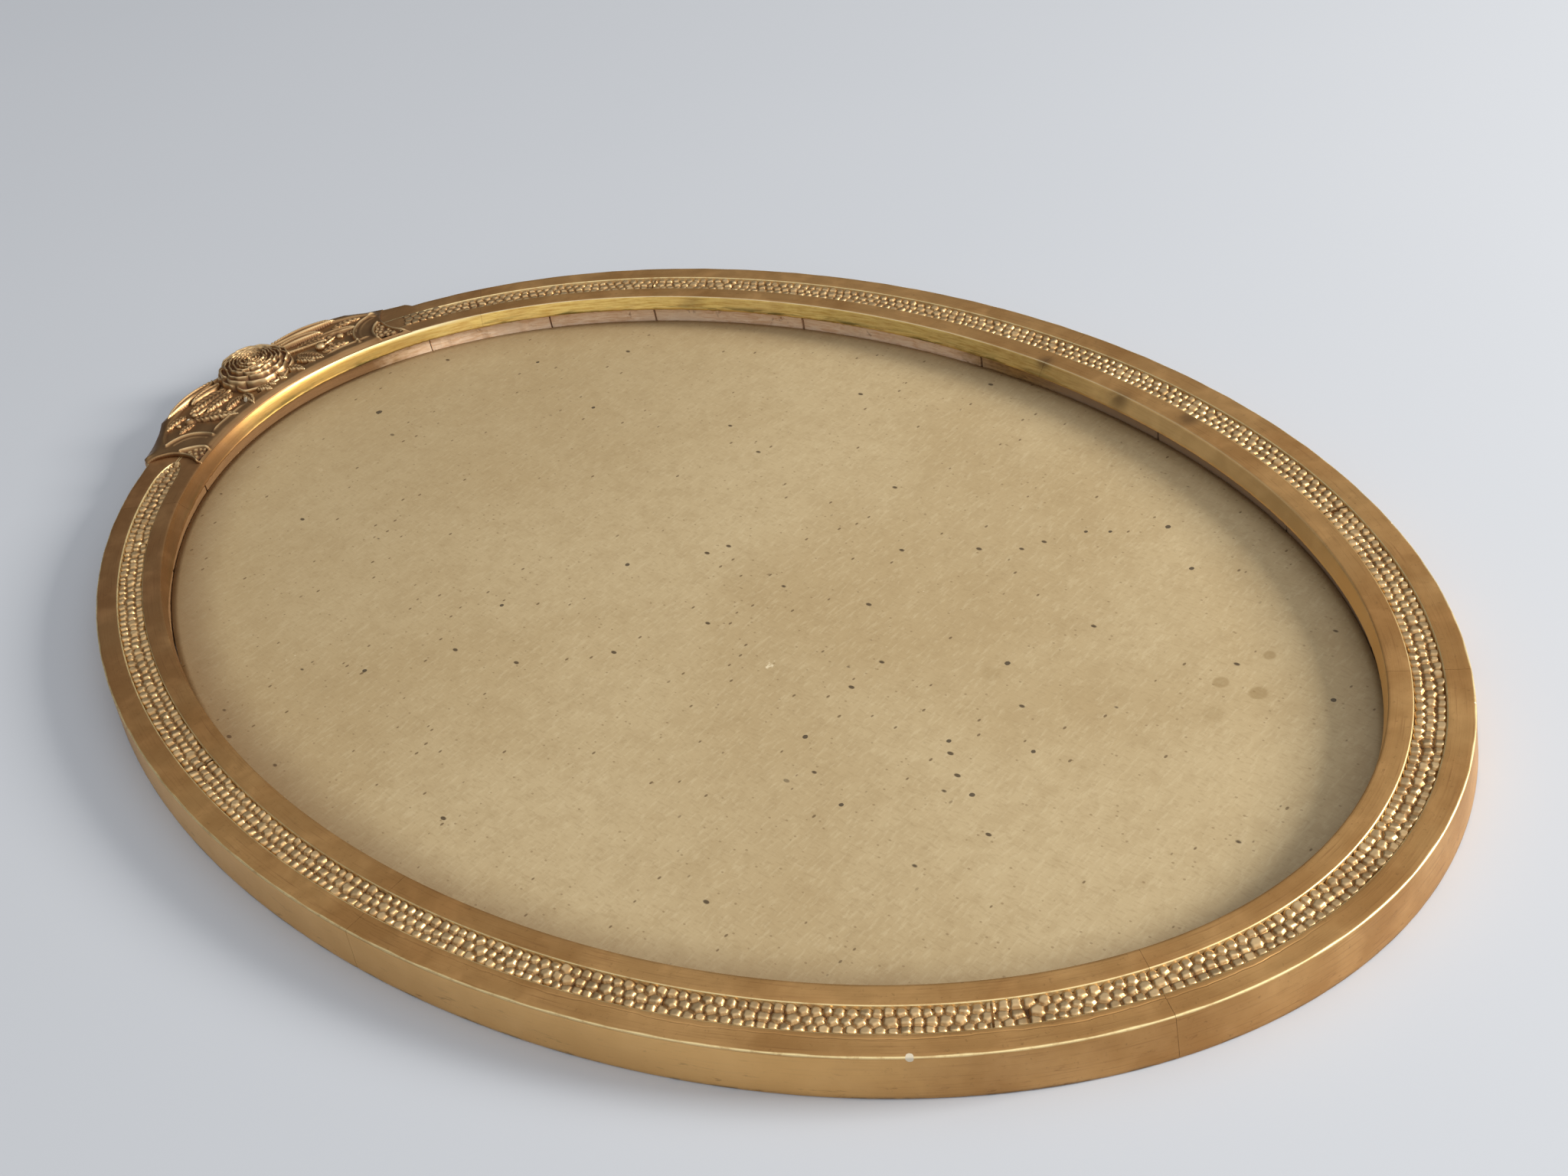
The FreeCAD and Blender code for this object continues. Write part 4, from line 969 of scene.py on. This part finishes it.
def plaque_level(x, y):
    """Top surface of the plaque, in millimetres above the back plane."""
    away = np.abs(x)
    inner = oval_gap(x, y, SIGHT)
    lower_edge = oval_gap(x, y, 17.0)
    # The sunk field with the rose and the leaves.
    field = 1 - smooth(0.972, 1.0, np.hypot(x / 55, (y - CREST_Y) / 29))
    field = field * smooth(0.0, 0.7, lower_edge)
    field = field * smooth(0.1, 0.9, disc_gap(x, y, SCROLL))
    level = PLAQUE - 0.75 * field
    # The rounded margin of the outline.
    width = 1.6 + 3.4 * smooth(36, 50, away)
    margin = (1 - np.clip(outline_gap(x, y) / width, 0, 1)) ** 2
    level = level - (0.95 + 0.5 * smooth(40, 52, away)) * margin
    # The scrolls, the sunk panels and the scalloped ends.
    level = level + 0.80 * arc_ridge(x, y, SCROLL, 76, 176, 0.60)
    inner_scroll = [(across, up, radius - 2.4) for across, up, radius in SCROLL]
    level = level + 0.25 * arc_ridge(x, y, inner_scroll, 84, 168, 0.5)
    panel = smooth(-0.35, -1.1, disc_gap(x, y, PANEL)) * smooth(0.5, 1.4, disc_gap(x, y, SCALLOP))
    panel = panel * smooth(0.7, 1.5, inner)
    level = level - 0.95 * panel
    level = level + 0.75 * arc_ridge(x, y, PANEL, 108, 182, 0.55)
    scallop_rim = ridge(disc_gap(x, y, SCALLOP) - 0.5, 0.42)
    level = level + (0.30 + 0.15 * (x > 0)) * scallop_rim * (1 - smooth(224, 228, y))
    rib = ridge(lower_edge, 0.42) * smooth(19, 23, away)
    level = level + 0.50 * rib * (1 - smooth(36.5, 38.5, away))
    # A bead on the right scroll, the raised left ear and the flattened right one.
    bead = 0.75 * dome(np.hypot(away - 49.5, y - 234.6) / 1.9)
    level = level + bead * (x > 0)
    level = level + 0.55 * np.exp(-(((x + 62.6) / 2.4) ** 2) - ((y - 230.6) / 1.4) ** 2)
    rolled = smooth(48.5, 55.0, x) * smooth(224, 230, y)
    level = level - (level - FACE - 0.10) * rolled
    worn = 0.05 * np.sin(x * 0.61 + y * 0.27) + 0.04 * np.sin(x * 0.33 - y * 0.71 + 1.3)
    edge = np.sin(np.clip(inner / 2.4, 0, 1) * math.pi / 2)
    return FACE + 0.02 + (level + worn - FACE - 0.02) * edge


def box_blur(values, reach):
    """Mean over a square window of a grid."""
    window = 2 * reach + 1
    for axis in (0, 1):
        first = np.repeat(np.take(values, [0], axis), reach + 1, axis)
        last = np.repeat(np.take(values, [-1], axis), reach, axis)
        total = np.cumsum(np.concatenate([first, values, last], axis), axis)
        high = np.take(total, range(window, total.shape[axis]), axis)
        low = np.take(total, range(0, total.shape[axis] - window), axis)
        values = (high - low) / window
    return values


def hollows(height, reach, scale):
    """Relief from 0 in hollows to 1 on ridges, compared with the ground around."""
    return np.clip(0.5 + (height - box_blur(height, reach)) / scale, 0, 1)


def plaque_end(share, side):
    """Clock angle where the plaque ends, for shares from the sight arris to the outline."""
    found = np.full_like(share, 25.0)
    tries = side * np.linspace(12, 25, 521)
    point, normal = rim_line(tries)
    for k, s in enumerate(share):
        depth = (1 - s) * depth_to(tries, SIGHT) - s * crest_reach(tries)
        plan = point - normal * depth[:, None]
        inside = disc_gap(plan[:, 0], plan[:, 1], SCALLOP) < 0
        if inside.any():
            found[k] = abs(tries[np.argmax(inside)])
    return found


def closed_slab(top_points, foot_level, relief):
    """Top grid, four walls and a flat underside, with no face that bends inwards."""
    rows, columns, _ = top_points.shape
    bottom = top_points.copy()
    bottom[..., 2] = foot_level
    points = np.concatenate([top_points.reshape(-1, 3), bottom.reshape(-1, 3)])
    index = np.arange(rows * columns).reshape(rows, columns)
    loop = np.concatenate([index[:, 0], index[-1, 1:], index[-2::-1, -1], index[0, -2:0:-1]])
    below = loop + rows * columns
    quads = [
        grid_quads(index),
        grid_quads(index + rows * columns)[:, [0, 3, 2, 1]],
        np.stack([loop, below, np.roll(below, -1), np.roll(loop, -1)], -1),
    ]
    return points, np.concatenate(quads), np.concatenate([relief.ravel(), 0 * relief.ravel() + 0.4])


share_up = np.concatenate([np.linspace(0, 0.035, 9), np.linspace(0.05, 1, 110)])
end_right = np.minimum(plaque_end(share_up, 1), 21.9)
end_left = np.minimum(plaque_end(share_up, -1), 22.3)
share_side = np.linspace(-1, 1, 401)[:, None]
clock_grid = np.where(share_side > 0, share_side * end_right, share_side * end_left)
point, normal = rim_line(clock_grid)
depth_grid = (1 - share_up) * depth_to(clock_grid, SIGHT) - share_up * crest_reach(clock_grid)
plan = point - normal * depth_grid[..., None]
side_drop = 1 - np.clip((1 - np.abs(share_side)) * 150, 0, 1)
top = plaque_level(plan[..., 0], plan[..., 1]) - 0.35 * side_drop**2
top_points = np.concatenate([plan, top[..., None]], -1)
points, quads, relief = closed_slab(top_points, FACE - 0.4, 0.15 + 0.85 * hollows(top, 5, 1.1))
plaque = add_mesh("crest_plaque_relief", points, quads, relief=relief)
finish_piece(plaque, relief_paint, stands_for=["crest_plaque"])

# Pebbled corner panels.
LOW_X, HIGH_X, LOW_Y, HIGH_Y = 38.0, 62.0, 198.0, 228.0
PANEL_GROUND = 14.62
for side, sign, seed in (("right", 1, 31), ("left", -1, 47)):
    grid = np.linspace(0, 1, 81)
    gx, gy = np.meshgrid(
        LOW_X + (HIGH_X - LOW_X) * grid, LOW_Y + (HIGH_Y - LOW_Y) * grid, indexing="ij"
    )
    keep = (
        (disc_gap(sign * gx, gy, PANEL) < -0.7)
        & (disc_gap(sign * gx, gy, SCALLOP) > 0.9)
        & (oval_gap(gx, gy, SIGHT) > 1.0)
    )
    source = np.random.default_rng(seed)
    seeds = []
    for _ in range(4000):
        x, y = source.uniform(LOW_X, HIGH_X), source.uniform(LOW_Y, HIGH_Y)
        radius = source.uniform(0.8, 1.35)
        if all(math.hypot(x - a, y - b) > 0.86 * (radius + c) for a, b, c in seeds):
            seeds.append((x, y, radius))
    height = np.zeros_like(gx)
    for x, y, radius in seeds:
        distance = np.hypot(gx - x, gy - y) / radius
        height = np.maximum(height, np.clip(1 - distance**3, 0, None) ** 0.6)
    level = PANEL_GROUND + 0.75 * height
    points = np.stack([sign * gx[keep], gy[keep], level[keep]], -1)
    relief = 0.15 + 0.8 * height[keep] ** 0.5
    panel = add_mesh(
        f"pebble_panel_{side}_relief", points, kept_quads(keep)[:, ::sign], relief=relief
    )
    finish_piece(panel, relief_paint, stands_for=[f"pebble_panel_{side}"])


# Moulded ornament: height fields that sink below the ground at their margins.
SUNK = 1.2


def height_mesh(name, x, y, level, floor_level, relief, stands_for=()):
    """The part of a height field that stands above a level, closed below, as one piece."""
    keep = level > floor_level
    points = np.stack([x[keep], y[keep], level[keep]], -1)
    used, cells = np.unique(kept_quads(keep), return_inverse=True)
    cells = cells.reshape(-1, 4)
    points, relief = points[used], relief[keep][used]
    count = len(points)
    # The edges that only one cell uses get a skirt down to a flat underside.
    edges = cells[:, [0, 1, 1, 2, 2, 3, 3, 0]].reshape(-1, 2)
    ordered = np.sort(edges, axis=1)
    key = ordered[:, 0] * count + ordered[:, 1]
    _, first, times = np.unique(key, return_index=True, return_counts=True)
    outer = edges[first[times == 1]]
    skirt = np.stack([outer[:, 1], outer[:, 0], outer[:, 0] + count, outer[:, 1] + count], 1)
    under = points * [1, 1, 0] + [0, 0, floor_level - SUNK]
    quads = np.concatenate([cells, skirt, cells[:, ::-1] + count])
    points = np.concatenate([points, under])
    obj = add_mesh(name, points, quads, relief=np.concatenate([relief, 0 * relief]))
    return finish_piece(obj, relief_paint, stands_for=stands_for)


# Rose: nested tiers of ruffled petals on a steep dome.
ROSE_GRID = np.arange(-17, 17, 0.22)
ROSE_GROUND = 14.2
ROSE_FLOOR = 14.3
TIERS = (
    # rim radius, rim level on the far side, drop towards the sight, petals
    (14.9, 19.2, 3.3, 8),
    (13.2, 20.1, 2.2, 8),
    (11.4, 20.8, 1.3, 7),
    (9.7, 21.3, 0.8, 7),
    (8.0, 21.6, 0.5, 6),
    (6.4, 21.8, 0.4, 6),
    (4.9, 21.85, 0.3, 5),
    (3.4, 21.8, 0.2, 4),
    (1.9, 21.7, 0.1, 3),
)
gx, gy = np.meshgrid(ROSE_GRID, ROSE_GRID, indexing="ij")
radius = np.hypot(gx, gy)
angle = np.arctan2(gy, gx)
rose_level = np.full_like(gx, ROSE_GROUND)
for tier, (rim_radius, far_level, drop, petals) in enumerate(TIERS):
    source = np.random.default_rng(60 + tier)
    turn = source.uniform(0, 6.3)
    wide = source.uniform(-0.55, 0.45, petals)
    high = source.uniform(-0.55, 0.30, petals)
    bent = angle - turn + 0.16 * np.sin(2 * angle + tier)
    which = np.floor(bent / (2 * math.pi) * petals).astype(int) % petals
    lobe = np.abs(np.sin(petals * bent / 2))
    edge = rim_radius * (0.90 + 0.09 * lobe**0.6) + wide[which] * lobe
    edge = edge + 0.16 * np.sin(17 * angle + 2.1 * tier) * lobe
    rim_level = far_level - drop * (1 - gy / np.maximum(radius, 0.5)) / 2
    crest = rim_level - 0.5 * (1 - lobe) ** 2.0 + high[which] * lobe
    inside = edge - radius
    cup = 1.25 * smooth(0.1, 1.3, inside)
    lip = 0.25 * ridge(inside - 0.3, 0.30)
    wall = (3.2 if tier == 0 else 2.6) * np.minimum(inside, 0)
    petal = np.where(inside > 0, crest - cup + lip, crest + wall + lip)
    rose_level = np.maximum(rose_level, petal)
rose_x, rose_y = ROSE
rose_relief = hollows(rose_level, 5, 1.2)
height_mesh(
    "rose_petals", rose_x + gx, rose_y + gy, rose_level, ROSE_FLOOR, rose_relief, ["rose"]
)


def leaf_field(x, y, start, end, width, peak, bow, teeth, groove, level):
    """Height of one carved leaf, with a grooved midrib, side veins and a toothed margin."""
    run = np.subtract(end, start)
    length = np.linalg.norm(run)
    run /= length
    place = np.stack([x - start[0], y - start[1]], -1)
    t = place @ run / length
    inside = np.clip(t, 0, 1)
    sideways = place @ np.array([-run[1], run[0]]) - bow * np.sin(math.pi * inside)
    tooth = np.abs(((inside * teeth) % 1) - 0.35)
    half = width / 2 * np.sin(math.pi * inside**0.8) ** 0.75 * (1.14 - 0.42 * tooth)
    half = np.maximum(half, 0.05)
    q = np.abs(sideways) / half
    swell = peak * (0.55 + 0.45 * np.sin(math.pi * np.clip(inside * 1.1 - 0.1, 0, 1)))
    rise = swell * (1.0 - 0.55 * (q - 0.45) ** 2 / 0.30 * (q > 0.45))
    rise = rise - groove * ridge(q, 0.16) * smooth(1.0, 0.85, inside)
    rise = rise - 0.16 * np.cos((inside * teeth * 2 - q * 0.9) * 2 * math.pi) * (q > 0.2)
    margin = np.minimum((1 - q) * half, np.minimum(t, 1 - t) * length)
    return np.where(margin > -0.3, level + rise * smooth(-0.25, 0.35, margin), 0.0)


def ball_field(x, y, centre, radius, top):
    share = np.hypot(x - centre[0], y - centre[1]) / radius
    return np.where(share < 1, top - radius * (1 - dome(share)), 0.0)


def twig_field(x, y, start, end, radius, top):
    run = np.subtract(end, start)
    place = np.stack([x - start[0], y - start[1]], -1)
    share = np.clip(place @ run / (run @ run), 0, 1)
    gap = np.linalg.norm(place - share[..., None] * run, axis=-1) / radius
    return np.where(gap < 1, top - radius * (1 - dome(gap)), 0.0)


# Leaves: stalk end, tip, width, height, bow, teeth, depth of the midrib's groove, ground.
# Balls: centre, radius, top. Twigs: both ends, radius, top.
RIGHT_LEAVES = (
    ((12.0, 254.6), (39.5, 246.4), 4.6, 1.7, 1.2, 0, -0.9, 15.0),
    ((11.5, 250.2), (30.5, 243.6), 4.4, 1.6, 0.9, 0, -0.9, 15.0),
    ((25.0, 241.8), (41.0, 232.8), 3.8, 1.3, 0.7, 0, -0.7, 14.9),
    ((16.0, 242.5), (29.5, 238.8), 4.4, 1.3, 0.5, 4, 0.3, 14.8),
    ((14.0, 238.2), (18.4, 226.0), 6.4, 1.5, -0.6, 5, 0.5, 14.9),
    ((20.5, 230.6), (31.6, 226.9), 3.2, 1.0, 0.5, 3, 0.3, 14.8),
    ((34.5, 242.6), (46.5, 238.6), 2.8, 0.9, 0.5, 3, 0.3, 14.8),
    ((34.5, 233.6), (39.5, 228.6), 3.0, 0.8, 0.3, 3, 0.3, 14.8),
)
RIGHT_BALLS = (
    ((22.6, 234.2), 2.3, 17.3),
    ((32.4, 234.3), 1.9, 16.3),
    ((29.2, 237.0), 1.5, 16.2),
    ((26.3, 232.4), 1.3, 15.9),
    ((35.8, 238.0), 1.2, 15.8),
)
RIGHT_TWIGS = (((13.5, 243.0), (27.0, 237.2), 0.9, 15.9), ((22.6, 234.2), (35.5, 236.5), 0.6, 15.6))
LEFT_LEAVES = (
    ((-16.5, 253.2), (-42.8, 246.4), 4.4, 1.7, -1.2, 0, -0.9, 15.0),
    ((-16.0, 249.2), (-31.5, 246.8), 4.4, 1.5, -0.4, 0, -0.8, 15.0),
    ((-16.0, 244.0), (-36.0, 241.2), 5.4, 1.4, -0.6, 5, 0.4, 14.9),
    ((-37.0, 242.2), (-48.0, 239.4), 2.8, 1.1, -0.4, 3, 0.3, 14.8),
    ((-37.6, 236.6), (-25.2, 222.8), 4.6, 1.5, 0.5, 5, 0.4, 14.9),
    ((-17.0, 239.2), (-31.5, 236.2), 4.4, 1.3, -0.5, 4, 0.4, 14.8),
    ((-38.0, 234.6), (-46.5, 233.0), 2.6, 0.8, -0.3, 3, 0.3, 14.8),
    ((-16.5, 233.6), (-26.5, 230.0), 3.6, 1.1, -0.4, 4, 0.3, 14.8),
)
LEFT_BALLS = (
    ((-39.2, 236.2), 2.1, 16.6),
    ((-35.2, 238.8), 1.5, 16.3),
    ((-33.0, 234.2), 1.5, 16.4),
    ((-28.4, 232.3), 1.4, 16.2),
    ((-43.2, 238.0), 1.2, 15.8),
)
LEFT_TWIGS = (((-14.5, 242.0), (-34.0, 238.0), 0.9, 15.9),)
CALYX_LEAVES = (
    ((4.6, 233.8), (8.4, 225.4), 3.8, 1.5, 0.2, 3, 0.4, 15.2),
    ((-1.2, 231.4), (0.8, 227.0), 3.2, 1.3, 0.0, 2, 0.3, 15.2),
    ((-6.0, 231.8), (-4.6, 227.0), 3.0, 1.2, 0.1, 2, 0.3, 15.2),
    ((-10.6, 231.8), (-7.4, 225.4), 3.4, 1.4, 0.2, 3, 0.4, 15.2),
    ((-15.6, 233.0), (-17.6, 223.6), 3.8, 1.5, 0.2, 3, 0.4, 15.2),
    ((11.2, 235.2), (14.6, 226.8), 3.2, 1.2, 0.2, 3, 0.4, 15.2),
)
CALYX_BALLS = (((0.8, 230.6), 1.6, 16.9), ((10.9, 240.6), 1.7, 18.2))
LEAF_STEP = 0.24
LEAF_SPAN = (221.5, 256)
LEAF_FLOOR = 14.4
FORMS = (leaf_field, ball_field, twig_field)
RIGHT_SPRAY = (RIGHT_LEAVES, RIGHT_BALLS, RIGHT_TWIGS)
LEFT_SPRAY = (LEFT_LEAVES, LEFT_BALLS, LEFT_TWIGS)
CALYX = (CALYX_LEAVES, CALYX_BALLS, ())
for name, ornament, low_x, high_x, stands_for in (
    ("leaf_spray_right_blades", RIGHT_SPRAY, 12.0, 50.0, ["leaf_spray_right"]),
    ("leaf_spray_left_blades", LEFT_SPRAY, -50.0, -12.0, ["leaf_spray_left"]),
    ("rose_calyx", CALYX, -20.0, 18.0, []),
):
    gx, gy = np.meshgrid(
        np.arange(low_x, high_x, LEAF_STEP), np.arange(*LEAF_SPAN, LEAF_STEP), indexing="ij"
    )
    spray = np.zeros_like(gx)
    for form, pieces in zip(FORMS, ornament):
        for values in pieces:
            spray = np.maximum(spray, form(gx, gy, *values))
    relief = 0.1 + 0.9 * hollows(np.maximum(spray, 14.6), 4, 0.9)
    height_mesh(name, gx, gy, spray, LEAF_FLOOR, relief, stands_for)

# Strawboard with a slightly uneven face and a wall down to its foot.
BOARD_CLEARANCE = 0.5
turns = np.linspace(0, 2 * math.pi, 181)[:-1]
steps = np.linspace(0, 1, 61) ** 0.8
tt, ss = np.meshgrid(turns, steps, indexing="ij")
bx = (HALF_WIDTH - REBATE - BOARD_CLEARANCE) * ss * np.sin(tt)
by = (HALF_LENGTH - REBATE - BOARD_CLEARANCE) * ss * np.cos(tt)
warp = 0.18 * np.sin(bx / 47 + 0.7) * np.sin(by / 71) + 0.10 * np.sin(bx / 21 - by / 33)
bow = 0.9 * np.exp(-(((bx + 10) / 60) ** 2) - ((by - 223) / 40) ** 2)
bz = BOARD_TOP + warp * (1 - ss**6) + bow
index = np.arange(bx.size).reshape(bx.shape)
around = np.roll(index, -1, axis=0)
ring = index[:, -1]
low = bx.size + np.arange(len(ring))
quads = np.concatenate([
    np.stack([index[:, :-1], index[:, 1:], around[:, 1:], around[:, :-1]], -1).reshape(-1, 4),
    np.stack([ring, low, np.roll(low, -1), np.roll(ring, -1)], -1),
])
points = np.stack([bx, by, bz], -1).reshape(-1, 3)
points = np.concatenate([points, points[ring] * [1, 1, 0] + [0, 0, BOARD_FOOT]])
board_rim = np.stack([bx, -oval_gap(bx, by, LIP), by], -1).reshape(-1, 3)
board_rim = np.concatenate([board_rim, board_rim[ring]])
board = add_mesh("backing_board_face", points, quads, [low], board_rim)
finish_piece(board, board_paint, stands_for=["backing_board"])

for name, paint in (
    ("back_block_top", wood_paint),
    ("backing_pins", iron_paint),
    ("hanger_plate", brass_paint),
    ("hanging_ring", brass_paint),
    ("hanger_screws", iron_paint),
):
    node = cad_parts[name]
    node.data.materials.clear()
    node.data.materials.append(paint)

# Floor, light and camera
bpy.ops.mesh.primitive_plane_add(size=8, location=(0, 0, 0))
floor = bpy.context.object
floor.name = "floor"
floor_paint = Paint("pale_floor")
floor_tone = floor_paint.place.noise(2.0, 3.0).between((186, 190, 196), (192, 195, 200))
floor.data.materials.append(floor_paint.set(Base_Color=floor_tone, Roughness=0.75))

# A square lamp that looks at the middle of the frame.
lamp = bpy.data.lights.new("key", "AREA")
lamp.shape = "SQUARE"
lamp.size = 0.60
lamp.energy = 46
lamp.color = (1.0, 0.97, 0.92)
key = bpy.data.objects.new("key", lamp)
key.location = Vector((0.56, -0.74, 0.42)).normalized() * 1.95
key.rotation_euler = key.location.to_track_quat("Z", "Y").to_euler()
bpy.context.scene.collection.objects.link(key)

# Soft light from above and behind the camera that fades towards the far side.
world = bpy.data.worlds.new("studio")
bpy.context.scene.world = world
world.use_nodes = True
sky = world.node_tree
direction = Field.of(sky, "ShaderNodeTexCoord", "Generated")
inputs = {0: direction, 1: (-0.08, -0.50, 0.86)}
toward = direction.into("ShaderNodeVectorMath", "Value", inputs, operation="DOT_PRODUCT")
background = sky.nodes["Background"]
background.inputs["Color"].default_value = (0.97, 0.98, 1.0, 1)
feed(sky, background.inputs["Strength"], toward.ramp(0.0, 1.0, 0.07, 1.18, "LINEAR"))

# The camera is the one that the photograph was taken with, as fitted to it in pixels.
SENSOR = 36
FOCAL_PIXELS, WIDTH_PIXELS = 2549.5, 2048
camera_data = bpy.data.cameras.new("camera")
camera_data.sensor_width = SENSOR
camera_data.lens = SENSOR * FOCAL_PIXELS / WIDTH_PIXELS
camera_data.clip_start = 0.01
camera = bpy.data.objects.new("camera", camera_data)
right = Vector((0.65979, -0.73474, -0.15759)).normalized()
forward = Vector((0.52805, 0.60254, -0.59842)).normalized()
up = right.cross(forward).normalized()
right = forward.cross(up).normalized()
turn = Matrix((right, up, -forward)).transposed().to_4x4()
camera.matrix_world = Matrix.Translation(Vector((-0.31570, -0.39650, 0.37427))) @ turn
bpy.context.scene.collection.objects.link(camera)
bpy.context.scene.camera = camera
bpy.context.scene.view_settings.view_transform = "Standard"
